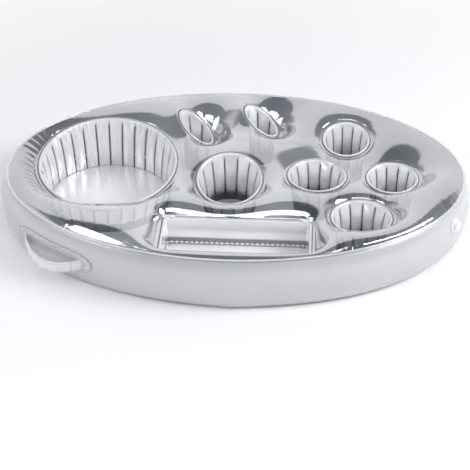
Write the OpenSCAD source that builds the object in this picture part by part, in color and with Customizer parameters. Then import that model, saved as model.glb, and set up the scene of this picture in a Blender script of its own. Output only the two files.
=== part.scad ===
// Inflatable floating drinks holder: an oval float of welded sheet with a clear
// top film, seven pleated cup wells, a round bowl, a tray, a handle and a valve.
// Millimetres. Origin at the middle of the base, X along the length, Z up.

/* [Float] */
// Length over the bulged side band
float_l = 860; // [780:5:940]
// Depth over the bulged side band
float_w = 582; // [540:2:640]
// Height of the weld seam that runs round the crest
seam_h = 101; // [90:1:112]
// How far the side band bulges out beyond the seam
band_bulge = 15; // [8:1:22]
// How far the foot of the band tucks in under the seam
band_tuck = 6; // [4:1:14]
// Width of the weld lips
lip_w = 4; // [2.5:0.5:6]
// Thickness of every welded sheet
sheet_t = 0.8; // [0.5:0.1:1.2]

/* [Top film] */
// How high the film rises over the seam just inside it
film_crest = 12; // [0:1:18]
// Rise of the film between two rims, per millimetre of free film
film_lift = 0.14; // [0:0.02:0.3]
// Flat film under each rim flange
film_land = 8; // [6:0.5:10]
// Longest edge of the film's facets along a boundary
film_step = 34; // [26:1:42]

/* [Cup wells] */
// Rim flange width
rim_flange = 5; // [3:0.5:6]
// Radius of the two large wells on the right
cup_r_large = 52; // [44:0.5:54]
// Radius of the bottle well in the middle
bottle_r = 58; // [50:0.5:60]
// Radius of the well at the back right
cup_r_back = 42; // [36:0.5:46]
// Radius of the well at the right end
cup_r_end = 45; // [38:0.5:48]
// Radius of the two slanted glass wells at the back
glass_r = 30; // [26:0.5:34]
// Height of the rims of the large wells
rim_h = 72; // [64:1:80]
// Height of the bottle well's rim at its centre
bottle_h = 76; // [68:1:84]
// Height of the back right well's rim at its centre
back_h = 80; // [70:1:86]
// Height of the right end well's rim at its centre
end_h = 74; // [66:1:82]
// Height of the slanted glass rims at their centres
glass_h = 85; // [76:1:90]
// Pleats in each cup well
cup_pleats = 6; // [5:1:9]
// How far each pleat swells into the well
cup_swell = 7; // [0:0.5:9]
// Share of its radius that a well loses by its floor
cup_taper = 0.12; // [0:0.01:0.2]

/* [Bowl] */
// Bowl rim radius
bowl_r = 126.5; // [112:0.5:130]
// Bowl rim height at its centre
bowl_h = 80; // [70:1:88]
// Radial pleats in the bowl wall
bowl_pleats = 20; // [12:2:28]
// How far the bowl wall swells inwards
bowl_swell = 8; // [0:0.5:14]

/* [Tray] */
// Tray length inside its rim
tray_l = 258; // [220:2:262]
// Tray depth inside its rim
tray_w = 104; // [90:2:110]
// Tray corner radius
tray_r = 20; // [12:1:30]
// Height of the tray's rim
tray_h = 72; // [64:1:80]
// Height of the tray floor above the base
tray_floor_h = 20; // [12:1:34]
// How far the tray walls swell inwards
tray_swell = 6; // [0:0.5:10]
// How far the tray walls lean in by the floor
tray_draft = 5; // [0:0.5:8]

/* [Handle and valve] */
// Where the handle sits on the band, as an angle round the oval
handle_at = 223.5; // [218:0.5:228]
// Length of the grip between its two ends
grip_l = 150; // [120:2:156]
// Height of the handle's base patch
patch_w = 42; // [36:1:48]
// How far the grip bows away from the band
grip_bow = 18; // [14:1:30]
// How far the grip hangs below its ends
grip_drop = 16; // [0:1:18]
// Where the valve sits on the band
valve_at = 337.5; // [330:0.5:344]
// Height of the valve's centre
valve_z = 71; // [56:1:76]
// Valve stem radius
valve_r = 8; // [6:0.5:10]

/* [Hidden] */

silver = [0.76, 0.77, 0.79];
pale_silver = [0.84, 0.85, 0.87];
clear_film = [0.86, 0.9, 0.94, 0.35];
clear_solid = [0.9, 0.92, 0.94, 0.6];
$fn = 96;

seam_a = float_l / 2 - band_bulge;
seam_b = float_w / 2 - band_bulge;
floor_z = 2 * sheet_t;
hole_gap = 1.4;
tray_hole_gap = 3.2;
foot_lip = 7;
base_lip = 5;

// Band section: half of an ellipse that passes through the seam.
sec_w = band_tuck + band_bulge;
sec_top = acos(band_tuck / sec_w);
sec_h = (seam_h - 2 * sheet_t) / (1 + sin(sec_top));
sec_z = sheet_t + sec_h;
band_n = 72;
band_m = 6;

// A place on the deck, as shares of the seam's half length and half width.
function deck(u, v) = [u * seam_a, v * seam_b];

// Wells: centre x, y, rim radius, rim height, slope of the rim along x and y.
well_a = [each deck(-0.2012, 0.6178), glass_r, glass_h, -0.89, 0.17];
well_b = [each deck(0.0976, 0.7283), glass_r, glass_h, -0.76, 0.16];
well_c = [each deck(0.4928, 0.5471), cup_r_back, back_h, 0, 0.24];
well_d = [each deck(0.6964, 0.1051), cup_r_end, end_h, 0, 0.05];
well_e = [each deck(0.5566, -0.3587), cup_r_large, rim_h, 0, 0];
well_f = [each deck(0.3627, 0.1214), cup_r_large, rim_h, 0, 0];
well_g = [each deck(-0.0253, 0.0272), bottle_r, bottle_h, 0, 0.3];
bowl = [each deck(-0.5783, 0.1667), bowl_r, bowl_h, 0, 0.13];
tray = [each deck(0.0265, -0.6232), tray_w / 2, tray_h, 0, 0];
tray_left = [tray[0] - tray_l / 2 + tray_w / 2, tray[1], tray_w / 2];
tray_right = [tray[0] + tray_l / 2 - tray_w / 2, tray[1], tray_w / 2];
round_wells = [well_a, well_b, well_c, well_d, well_e, well_f, well_g, bowl];

// Plane geometry

function sq(v) = v[0] * v[0] + v[1] * v[1];
function power(w) = w[0] * w[0] + w[1] * w[1] - w[2] * w[2];
function total(v, i = 0) = i < len(v) ? v[i] + total(v, i + 1) : 0;

// The point that has the same power to three circles.
function radical_centre(p, q, r) =
    let (
        a = 2 * (q[0] - p[0]), b = 2 * (q[1] - p[1]), m = power(q) - power(p),
        c = 2 * (r[0] - p[0]), d = 2 * (r[1] - p[1]), n = power(r) - power(p),
        det = a * d - b * c
    )
    [(m * d - b * n) / det, (a * n - m * c) / det];

// Where the radical axis of two circles leaves the oval, on their own side.
function axis_end(p, q, a, b) =
    let (
        n = [q[0] - p[0], q[1] - p[1]],
        o = n * (power(q) - power(p)) / (2 * sq(n)),
        d = [-n[1], n[0]] / norm(n),
        k2 = d[0] * d[0] / (a * a) + d[1] * d[1] / (b * b),
        k1 = 2 * (o[0] * d[0] / (a * a) + o[1] * d[1] / (b * b)),
        k0 = o[0] * o[0] / (a * a) + o[1] * o[1] / (b * b) - 1,
        root = sqrt(k1 * k1 - 4 * k2 * k0),
        e = o + d * (-k1 + root) / (2 * k2),
        f = o + d * (-k1 - root) / (2 * k2),
        mid = [p[0] + q[0], p[1] + q[1]] / 2
    )
    sq(e - mid) < sq(f - mid) ? e : f;

// Keeps a value within a distance of zero.
function clamp(v, most) = min(most, max(-most, v));

// Sheets as closed loops of rings

// Joins rings of equal length into one closed sheet, each ring to the next.
module ring_sheet(rings) {
    n = len(rings[0]);
    m = len(rings);
    polyhedron(
        points = [for (ring = rings) for (p = ring) p],
        faces = [
            for (i = [0 : m - 1]) for (j = [0 : n - 1])
                let (
                    a = i * n + j, b = i * n + (j + 1) % n,
                    c = (i + 1) % m * n + (j + 1) % n, d = (i + 1) % m * n + j
                )
                // The second half lies behind the first, so both split alike.
                each i < m / 2 ? [[a, b, c], [a, c, d]] : [[a, b, d], [b, c, d]]
        ],
        convexity = 12
    );
}

// Joins rings of equal length into a closed solid with a fan over each end.
module capped_loft(rings, start, end) {
    n = len(rings[0]);
    m = len(rings);
    polyhedron(
        points = [for (ring = rings) for (p = ring) p, start, end],
        faces = [
            for (i = [0 : m - 2]) for (j = [0 : n - 1])
                let (a = i * n + j, b = i * n + (j + 1) % n)
                each [[a, b + n, a + n], [a, b, b + n]],
            for (j = [0 : n - 1]) [n * m, (j + 1) % n, j],
            for (j = [0 : n - 1]) [n * m + 1, (m - 1) * n + j, (m - 1) * n + (j + 1) % n]
        ],
        convexity = 6
    );
}

function oval_ring(off, z) = [
    for (i = [0 : band_n - 1])
        let (phi = 360 * i / band_n)
        [(seam_a + off) * cos(phi), (seam_b + off) * sin(phi), z]
];

function band_off(z) =
    sec_w * sqrt(max(0, 1 - pow((z - sec_z) / sec_h, 2))) - band_tuck;

// Top film

film_a = seam_a + lip_w;
film_b = seam_b + lip_w;

// Corners of the film's cells: radical centres of three neighbouring wells,
// and the ends of the radical axes on the outline.
corners = [
    radical_centre(bowl, well_a, well_g),
    radical_centre(well_a, well_b, well_g),
    radical_centre(well_b, well_g, well_f),
    radical_centre(well_b, well_c, well_f),
    radical_centre(well_c, well_d, well_f),
    radical_centre(well_d, well_e, well_f),
    radical_centre(well_e, tray_right, well_f),
    radical_centre(tray_right, well_f, well_g),
    radical_centre(tray_left, tray_right, well_g),
    radical_centre(tray_left, well_g, bowl),
    axis_end(bowl, well_a, film_a, film_b),
    axis_end(well_a, well_b, film_a, film_b),
    axis_end(well_b, well_c, film_a, film_b),
    axis_end(well_c, well_d, film_a, film_b),
    axis_end(well_d, well_e, film_a, film_b),
    axis_end(well_e, tray_right, film_a, film_b),
    axis_end(tray_left, bowl, film_a, film_b)
];

// Edges between corners: from, to, and 1 where the edge follows the outline.
edges = [
    [9, 0, 0], [0, 10, 0], [10, 16, 1], [16, 9, 0],
    [0, 1, 0], [1, 11, 0], [11, 10, 1],
    [1, 2, 0], [2, 3, 0], [3, 12, 0], [12, 11, 1],
    [3, 4, 0], [4, 13, 0], [13, 12, 1],
    [4, 5, 0], [5, 14, 0], [14, 13, 1],
    [5, 6, 0], [6, 15, 0], [15, 14, 1],
    [6, 7, 0], [7, 8, 0], [8, 9, 0], [16, 15, 1], [2, 7, 0]
];

// Cells, one round each rim, as edge numbers; -1 runs an edge backwards.
cells = [
    [bowl, [[0, 1], [1, 1], [2, 1], [3, 1]]],
    [well_a, [[4, 1], [5, 1], [6, 1], [1, -1]]],
    [well_b, [[7, 1], [8, 1], [9, 1], [10, 1], [5, -1]]],
    [well_c, [[11, 1], [12, 1], [13, 1], [9, -1]]],
    [well_d, [[14, 1], [15, 1], [16, 1], [12, -1]]],
    [well_e, [[17, 1], [18, 1], [19, 1], [15, -1]]],
    [well_f, [[20, -1], [17, -1], [14, -1], [11, -1], [8, -1], [24, 1]]],
    [well_g, [[22, -1], [21, -1], [24, -1], [7, -1], [4, -1], [0, -1]]],
    [tray, [[3, -1], [23, 1], [18, -1], [20, 1], [21, 1], [22, 1]]]
];

function oval_angle(p) = atan2(p[1] / film_b, p[0] / film_a);
function arc_from(e) = oval_angle(corners[e[0]]);
function arc_sweep(e) = (oval_angle(corners[e[1]]) - arc_from(e) + 720) % 360;
function edge_len(e) = e[2] == 1
    ? arc_sweep(e) * PI / 180 * (film_a + film_b) / 2
    : norm(corners[e[1]] - corners[e[0]]);
function edge_parts(e) = max(2, ceil(edge_len(e) / film_step));
function edge_point(e, k) =
    let (s = k / edge_parts(e))
    e[2] == 1
        ? let (phi = arc_from(e) + s * arc_sweep(e)) [film_a * cos(phi), film_b * sin(phi)]
        : corners[e[0]] * (1 - s) + corners[e[1]] * s;

// Boundary points: the corners first, then the inner points of each edge.
bound_xy = [
    each corners,
    for (e = edges) for (k = [1 : edge_parts(e) - 1]) edge_point(e, k)
];
bound_on_rim = [
    for (i = [0 : len(corners) - 1]) i >= 10 ? 1 : 0,
    for (e = edges) for (k = [1 : edge_parts(e) - 1]) e[2]
];
edge_base = [
    for (i = 0, n = len(corners); i < len(edges); n = n + edge_parts(edges[i]) - 1, i = i + 1) n
];
function edge_run(i, way) =
    let (e = edges[i], n = edge_parts(e), base = edge_base[i] - 1)
    way > 0
        ? [e[0], for (k = [1 : n - 1]) base + k]
        : [e[1], for (k = [n - 1 : -1 : 1]) base + k];
cell_loops = [for (c = cells) [for (r = c[1]) each edge_run(r[0], r[1])]];

function rim_z(w, d) = w[3] + w[4] * d[0] + w[5] * d[1];
function is_tray(w) = w == tray;

// What a rim runs round at an even distance: a point, or the tray's core.
function core(w, d) = is_tray(w)
    ? [clamp(d[0], tray_l / 2 - tray_r), clamp(d[1], tray_w / 2 - tray_r)]
    : [0, 0];
function rim_r(w) = is_tray(w) ? tray_r : w[2];
function rim_gap(w, d) = norm(d - core(w, d)) - rim_r(w);

// Height of the film where two cells meet. Each rim pulls on it by the inverse
// square of its distance; it climbs to the seam and swells as the film does.
function ridge_z(p) =
    let (
        off = [for (w = [each round_wells, tray]) p - [w[0], w[1]]],
        gap = [for (i = [0 : 8]) max(1, rim_gap(i < 8 ? round_wells[i] : tray, off[i]))],
        near = [
            for (i = [0 : 8])
                let (w = i < 8 ? round_wells[i] : tray)
                rim_z(w, off[i] / norm(off[i]) * min(w[2], norm(off[i])))
        ],
        pull = [for (g = gap) 1 / (g * g)],
        level = pull * near / total(pull),
        rho = norm([p[0] / film_a, p[1] / film_b]),
        out = max(1, norm(p) * (1 / rho - 1)),
        free = min(gap),
        share = free / (out + free)
    )
    level + (seam_h - level) * sin(90 * share) + film_crest * sin(180 * share)
        + film_lift * min(free, out);

bound_xyz = [
    for (i = [0 : len(bound_xy) - 1])
        [bound_xy[i][0], bound_xy[i][1], bound_on_rim[i] == 1 ? seam_h : ridge_z(bound_xy[i])]
];

film_shares = [0.2, 0.5, 0.8];
film_rings = len(film_shares) + 3;

// One ring of a cell's film, counted outwards from the hole.
function film_ring(w, loop, ring) = [
    for (i = loop)
        let (
            p = bound_xyz[i],
            d = [p[0] - w[0], p[1] - w[1]],
            c = core(w, d),
            reach = norm(d - c),
            u = (d - c) / reach,
            rim = bound_on_rim[i] == 1,
            land = rim_r(w) + hole_gap + film_land,
            last = rim ? reach - lip_w - 1 : reach,
            rho = ring == 0 ? rim_r(w) + (is_tray(w) ? tray_hole_gap : hole_gap)
                : ring == 1 ? land
                : ring == film_rings - 1 ? (rim ? last : land + 0.95 * (last - land))
                : land + film_shares[ring - 2] * (last - land),
            s = (rho - land) / (last - land),
            z_land = rim_z(w, c + u * land),
            z = s <= 0 ? rim_z(w, c + u * rho)
                : z_land + (p[2] - z_land) * sin(90 * s) + (rim ? film_crest * sin(180 * s) : 0)
        )
        [w[0] + c[0] + u[0] * rho, w[1] + c[1] + u[1] * rho, z]
];

cell_base = [
    for (i = 0, n = len(bound_xyz); i < len(cells); n = n + film_rings * len(cell_loops[i]), i = i + 1) n
];
film_points = [
    each bound_xyz,
    for (i = [0 : len(cells) - 1]) for (r = [0 : film_rings - 1])
        each film_ring(cells[i][0], cell_loops[i], r)
];
film_count = len(film_points);

// Index of ring r, place j in cell i; the ring past the last is the boundary.
function film_index(i, r, j) =
    let (n = len(cell_loops[i]), k = j % n)
    r == film_rings ? cell_loops[i][k] : cell_base[i] + r * n + k;

film_top_faces = [
    for (i = [0 : len(cells) - 1]) for (r = [0 : film_rings - 1])
        for (j = [0 : len(cell_loops[i]) - 1])
            let (
                a = film_index(i, r, j), b = film_index(i, r, j + 1),
                c = film_index(i, r + 1, j + 1), d = film_index(i, r + 1, j)
            )
            each [[a, b, c], [a, c, d]]
];
film_hole_faces = [
    for (i = [0 : len(cells) - 1]) for (j = [0 : len(cell_loops[i]) - 1])
        let (a = film_index(i, 0, j), b = film_index(i, 0, j + 1))
        each [[b, a, a + film_count], [b, a + film_count, b + film_count]]
];
film_edge_faces = [
    for (i = [0 : len(edges) - 1]) if (edges[i][2] == 1)
        let (run = [each edge_run(i, 1), edges[i][1]])
        for (k = [0 : len(run) - 2])
            let (a = run[k], b = run[k + 1])
            each [[a, b, b + film_count], [a, b + film_count, a + film_count]]
];

module top_film() {
    color(clear_film)
    polyhedron(
        points = [
            for (p = film_points) [p[0], p[1], p[2] + sheet_t],
            for (p = film_points) p
        ],
        faces = [
            each film_top_faces,
            for (f = film_top_faces) [f[2] + film_count, f[1] + film_count, f[0] + film_count],
            each film_hole_faces,
            each film_edge_faces
        ],
        convexity = 20
    );
}

// Float

module bottom_sheet() {
    color(silver)
    linear_extrude(height = sheet_t)
    polygon([for (p = oval_ring(base_lip - band_tuck, 0)) [p[0], p[1]]]);
}

// Points of the band's section from the top seam down to the foot lip.
band_section = [
    for (i = [0 : band_m])
        let (th = sec_top - (sec_top + 90) * i / band_m)
        [sec_w * cos(th) - band_tuck, sec_z + sec_h * sin(th)]
];

module band_sheet() {
    ring_sheet([
        oval_ring(lip_w, seam_h),
        oval_ring(lip_w, seam_h - sheet_t),
        for (p = band_section) oval_ring(p[0], p[1]),
        oval_ring(-band_tuck - foot_lip, sheet_t),
        oval_ring(-band_tuck - foot_lip, 2 * sheet_t),
        for (i = [band_m : -1 : 1])
            oval_ring(band_section[i][0] - sheet_t * (i == band_m ? 0 : 1),
                max(band_section[i][1], 2 * sheet_t)),
        oval_ring(-sheet_t, seam_h)
    ]);
}

// Solid behind a stretch of the band, used to fit mouldings to its outside.
module band_core(from, to) {
    k0 = floor(from / 360 * band_n);
    k1 = ceil(to / 360 * band_n);
    n = k1 - k0 + 1;
    rows = [for (p = band_section) oval_ring(p[0], p[1])];
    back = [for (p = band_section) oval_ring(-60, p[1])];
    m = len(rows);
    polyhedron(
        points = [
            for (row = rows) for (k = [k0 : k1]) row[k % band_n],
            for (row = back) for (k = [k0 : k1]) row[k % band_n]
        ],
        faces = [
            for (i = [0 : m - 2]) for (j = [0 : n - 2])
                let (a = i * n + j, h = m * n)
                each [
                    [a, a + 1, a + n + 1], [a, a + n + 1, a + n],
                    [h + a, h + a + n, h + a + n + 1], [h + a, h + a + n + 1, h + a + 1]
                ],
            for (j = [0 : n - 2])
                let (h = m * n, l = (m - 1) * n)
                each [
                    [j, h + j + 1, j + 1], [j, h + j, h + j + 1],
                    [l + j, l + j + 1, h + l + j + 1], [l + j, h + l + j + 1, h + l + j]
                ],
            for (i = [0 : m - 2])
                let (h = m * n, a = i * n, b = i * n + n - 1)
                each [
                    [a, a + n, h + a + n], [a, h + a + n, h + a],
                    [b, h + b + n, b + n], [b, h + b, h + b + n]
                ]
        ],
        convexity = 6
    );
}

// Puts its children at a point of the band, with +X along the outward normal.
module on_band(phi, z) {
    a = seam_a + band_off(z);
    b = seam_b + band_off(z);
    lean = atan2((z - sec_z) / (sec_h * sec_h), (band_off(z) + band_tuck) / (sec_w * sec_w));
    translate([a * cos(phi), b * sin(phi), z])
        rotate([0, -lean, atan2(sin(phi) / b, cos(phi) / a)])
            children();
}

module side_band() {
    color(pale_silver)
    difference() {
        band_sheet();
        on_band(valve_at, valve_z)
            rotate([0, 90, 0])
                cylinder(r = valve_r + 0.2, h = 20, center = true);
    }
}

// Wells

// One ring of a pleated wall; swell pushes the middle of each pleat inwards.
function pleat_ring(w, r, swell, pleats, per, lift, depth) = [
    for (i = [0 : pleats * per - 1])
        let (
            phi = 360 * i / (pleats * per),
            rr = r - swell * sin(180 * (i % per) / per),
            d = [rr * cos(phi), rr * sin(phi)],
            top = rim_z(w, d) + lift
        )
        [w[0] + d[0], w[1] + d[1], top + (floor_z - top) * depth]
];

// A pleated well: flange on the film, wall down to the floor disc, and back up.
module pleated_well(w, pleats, per, swell, taper) {
    depths = [0.15, 0.5, 0.85];
    flange = w[2] + rim_flange;
    foot = w[2] * (1 - taper);
    ring_sheet([
        pleat_ring(w, flange, 0, pleats, per, sheet_t, 0),
        pleat_ring(w, w[2], 0, pleats, per, sheet_t, 0),
        for (t = depths)
            pleat_ring(w, w[2] * (1 - taper * t), swell * sin(180 * pow(t, 0.8)), pleats, per, sheet_t, t),
        pleat_ring(w, foot, 0, pleats, per, sheet_t, 1),
        pleat_ring(w, foot - sheet_t, 0, pleats, per, sheet_t, 1),
        for (i = [len(depths) - 1 : -1 : 0])
            let (t = depths[i])
            pleat_ring(w, w[2] * (1 - taper * t) - sheet_t, swell * sin(180 * pow(t, 0.8)),
                pleats, per, sheet_t, t),
        pleat_ring(w, w[2] - sheet_t, 0, pleats, per, 2 * sheet_t, 0),
        pleat_ring(w, flange, 0, pleats, per, 2 * sheet_t, 0)
    ]);
}

module floor_disc(w, taper) {
    translate([w[0], w[1], sheet_t])
        cylinder(r = w[2] * (1 - taper) + 4, h = sheet_t);
}

module cup_wall(w, pleats = cup_pleats, swell = cup_swell) {
    color(silver)
    pleated_well(w, pleats, 4, swell, cup_taper);
}

module cup_floor(w) {
    color(silver)
    floor_disc(w, cup_taper);
}

module well_wall_a() { cup_wall(well_a, 5, cup_swell * 0.5); }
module well_wall_b() { cup_wall(well_b, 5, cup_swell * 0.5); }
module well_wall_c() { cup_wall(well_c); }
module well_wall_d() { cup_wall(well_d); }
module well_wall_e() { cup_wall(well_e); }
module well_wall_f() { cup_wall(well_f); }
module well_wall_g() { cup_wall(well_g); }
module well_floor_a() { cup_floor(well_a); }
module well_floor_b() { cup_floor(well_b); }
module well_floor_c() { cup_floor(well_c); }
module well_floor_d() { cup_floor(well_d); }
module well_floor_e() { cup_floor(well_e); }
module well_floor_f() { cup_floor(well_f); }
module well_floor_g() { cup_floor(well_g); }

bowl_taper = 0.1;

module bowl_wall() {
    color(silver)
    pleated_well(bowl, bowl_pleats, 3, bowl_swell, bowl_taper);
}

module bowl_floor() {
    color(silver)
    floor_disc(bowl, bowl_taper);
}

// Tray

tray_corner_n = 5;
tray_long_n = 6;
tray_short_n = 3;

// Outline of the tray at an offset from its rim, counter-clockwise.
function tray_ring(off, z) =
    let (
        hx = tray_l / 2 + off, hy = tray_w / 2 + off, r = max(4, tray_r + off),
        cx = hx - r, cy = hy - r
    )
    [
        for (q = [0 : 3])
            let (
                sx = q == 0 || q == 3 ? 1 : -1, sy = q < 2 ? 1 : -1,
                nx = q == 0 || q == 1 ? -1 : 1, n = q % 2 == 0 ? tray_long_n : tray_short_n,
                from = [sx * cx + (q % 2 == 0 ? 0 : sx * r), sy * cy + (q % 2 == 0 ? sy * r : 0)],
                to = q == 0 ? [-cx, hy] : q == 1 ? [-hx, -cy] : q == 2 ? [cx, -hy] : [hx, cy]
            )
            each [
                for (i = [0 : tray_corner_n - 1])
                    let (phi = 90 * q + 90 * i / tray_corner_n)
                    [tray[0] + sx * cx + r * cos(phi), tray[1] + sy * cy + r * sin(phi), z],
                for (i = [0 : n - 1])
                    [tray[0] + from[0] + (to[0] - from[0]) * i / n,
                        tray[1] + from[1] + (to[1] - from[1]) * i / n, z]
            ]
    ];

module tray_wall() {
    depths = [0.15, 0.45, 0.8];
    top = tray[3] + sheet_t;
    color(silver)
    ring_sheet([
        tray_ring(rim_flange, top),
        tray_ring(0, top),
        for (t = depths)
            tray_ring(-tray_draft * t - tray_swell * sin(180 * t), top + (tray_floor_h - top) * t),
        tray_ring(-tray_draft, tray_floor_h),
        tray_ring(-tray_draft - sheet_t, tray_floor_h),
        for (i = [len(depths) - 1 : -1 : 0])
            let (t = depths[i])
            tray_ring(-tray_draft * t - tray_swell * sin(180 * t) - sheet_t, top + (tray_floor_h - top) * t),
        tray_ring(-sheet_t, top + sheet_t),
        tray_ring(rim_flange, top + sheet_t)
    ]);
}

module tray_floor() {
    color(silver)
    translate([0, 0, tray_floor_h - sheet_t])
    linear_extrude(height = sheet_t)
    polygon([for (p = tray_ring(-2, 0)) [p[0], p[1]]]);
}

// Handle and valve

handle_z = sec_z;
handle_turn = atan2(
    sin(handle_at) / (seam_b + band_bulge),
    cos(handle_at) / (seam_a + band_bulge)
);

// Centre line of the grip in the handle's own frame: X outwards, Y along it.
function grip_line(s) = [
    grip_bow * pow(sin(180 * s), 0.65) + 4 - 20 * pow(2 * s - 1, 2),
    grip_l * (s - 0.5),
    2 - grip_drop * pow(sin(180 * s), 0.8)
];
function grip_ring(s) =
    let (c = grip_line(s))
    [
        for (i = [0 : 11])
            let (phi = 30 * i, k = sign(cos(phi)) * pow(abs(cos(phi)), 0.6))
            [c[0] + 2.2 * k, c[1], c[2] + 10 * sin(phi)]
    ];

module grip() {
    n = 14;
    from = 0.02;
    to = 0.98;
    capped_loft(
        [for (i = [0 : n]) grip_ring(from + (to - from) * i / n)],
        grip_line(from),
        grip_line(to)
    );
}

module handle() {
    color(clear_solid)
    difference() {
        on_band(handle_at, handle_z)
        union() {
            grip();
            handle_patch();
        }
        band_core(handle_at - 24, handle_at + 24);
    }
}

// Oval base patch, bent to the band: share of its outline, and height over it.
module handle_patch() {
    hl = grip_l / 2 + 15;
    hw = patch_w / 2;
    n = 24;
    capped_loft(
        [
            for (side = [[0.3, 2.4], [0.7, 2.4], [0.93, 2.2], [1, 1.2], [1, -6], [0.5, -6]])
                [
                    for (i = [0 : n - 1])
                        let (
                            phi = 360 * i / n,
                            y = side[0] * ((hl - hw) * sign(cos(phi)) * pow(abs(cos(phi)), 0.3) + hw * cos(phi)),
                            z = side[0] * hw * sin(phi)
                        )
                        [side[1] + patch_bend(y, z), y, z]
                ]
        ],
        [2.4, 0, 0],
        [-6, 0, 0]
    );
}

// How far the band falls back from the handle's tangent plane at an offset.
function patch_bend(y, z) =
    let (
        a = seam_a + band_off(handle_z + z), b = seam_b + band_off(handle_z + z),
        a0 = seam_a + band_off(handle_z), b0 = seam_b + band_off(handle_z),
        o = [a0 * cos(handle_at), b0 * sin(handle_at)],
        n = [cos(handle_turn), sin(handle_turn)],
        q = [o[0] - y * n[1], o[1] + y * n[0]],
        k2 = n[0] * n[0] / (a * a) + n[1] * n[1] / (b * b),
        k1 = 2 * (q[0] * n[0] / (a * a) + q[1] * n[1] / (b * b)),
        k0 = q[0] * q[0] / (a * a) + q[1] * q[1] / (b * b) - 1
    )
    (-k1 + sqrt(k1 * k1 - 4 * k2 * k0)) / (2 * k2);

module valve_body() {
    color(clear_solid)
    difference() {
        on_band(valve_at, valve_z)
        rotate([0, 90, 0])
        difference() {
            union() {
                translate([0, 0, -3])
                    cylinder(r = valve_r + 6, h = 4.6);
                cylinder(r1 = valve_r + 1.5, r2 = valve_r, h = 6);
            }
            translate([0, 0, -12])
                cylinder(r = valve_r - 2.5, h = 30);
        }
        band_core(valve_at - 12, valve_at + 12);
    }
}

module valve_plug() {
    color(clear_solid)
    on_band(valve_at, valve_z)
    rotate([0, 90, 0])
    union() {
        translate([0, 0, 6])
            cylinder(r = valve_r + 0.5, h = 1.8);
        translate([0, 0, 1])
            cylinder(r = valve_r - 2.5, h = 5.5);
        translate([0, 0, 7.5])
            cylinder(r1 = 3, r2 = 2.2, h = 2.2);
    }
}

bottom_sheet();
side_band();
top_film();
well_wall_a();
well_wall_b();
well_wall_c();
well_wall_d();
well_wall_e();
well_wall_f();
well_wall_g();
well_floor_a();
well_floor_b();
well_floor_c();
well_floor_d();
well_floor_e();
well_floor_f();
well_floor_g();
bowl_wall();
bowl_floor();
tray_wall();
tray_floor();
handle();
valve_body();
valve_plug();
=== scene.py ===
"""Looks of an inflatable floating drinks holder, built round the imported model.

The float is made of welded vinyl: a silver side band and bottom, silver pleated
wells, and a clear glossy film over the top. Sizes are millimetres in the frame
of the model, with the origin at the middle of the base and X along the length.
Only the studio's sizes and the materials' depths are metres.
"""

import logging
import math
from dataclasses import dataclass
from enum import Enum
from functools import cache
from typing import Sequence

import bpy
import numpy as np
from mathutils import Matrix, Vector

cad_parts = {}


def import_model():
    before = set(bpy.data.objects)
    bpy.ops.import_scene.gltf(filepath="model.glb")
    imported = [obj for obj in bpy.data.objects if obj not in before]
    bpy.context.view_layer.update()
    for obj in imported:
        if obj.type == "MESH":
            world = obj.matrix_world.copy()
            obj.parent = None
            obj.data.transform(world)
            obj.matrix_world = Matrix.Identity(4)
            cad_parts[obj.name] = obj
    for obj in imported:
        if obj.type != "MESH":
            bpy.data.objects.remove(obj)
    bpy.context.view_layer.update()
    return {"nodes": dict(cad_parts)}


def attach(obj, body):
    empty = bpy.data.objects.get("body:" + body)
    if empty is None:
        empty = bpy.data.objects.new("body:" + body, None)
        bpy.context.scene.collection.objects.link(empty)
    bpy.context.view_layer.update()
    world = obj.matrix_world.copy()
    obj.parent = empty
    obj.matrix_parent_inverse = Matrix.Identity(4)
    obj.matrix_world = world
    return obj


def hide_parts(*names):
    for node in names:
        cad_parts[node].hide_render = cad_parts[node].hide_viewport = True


LOG = logging.getLogger("drinks_float")
MM = 0.001
# The weld seam's oval with its height, and the lip outside it
SEAM_A, SEAM_B, SEAM_H = 415.0, 276.0, 101.0
LIP = 4.0
# The band's section: an ellipse, tucked in under the seam
SECTION_W, SECTION_H, SECTION_Z = 21.0, 50.758, 51.558
TUCK = 6.0
# Thickness of the CAD sheets and of the finer walls, and height of the floors
SHEET, WALL, FLOOR_Z = 0.8, 0.7, 1.6
# Offset and height of the points of a rim's bead, round a well and the tray
WELL_BEAD = ((0.1, -0.1), (-0.2, 0.5), (0.1, 1.3), (0.8, 1.6), (1.6, 1.5), (2.2, 0.9),
             (2.5, 0.3), (2.5, -0.1))
TRAY_BEAD = ((0.1, -0.1), (-0.2, 0.6), (0.2, 1.4), (1.0, 1.7), (1.8, 1.6), (2.5, 1.0),
             (2.9, 0.3), (2.9, -0.1))
BEAD_SIDES = 10
BEAD_MILK, FOOT_MILK = 0.6, 0.8

Array = np.ndarray
Amount = np.ndarray | float
Faces = list[list[int]]
Shape = tuple[Array, Faces]
Tone = tuple[float, float, float]
Stops = tuple[tuple[float, float], ...]

EDGE = np.array([SEAM_A + LIP, SEAM_B + LIP])
UP = np.array([0.0, 0.0, 1.0])


# Shader expressions


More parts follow.
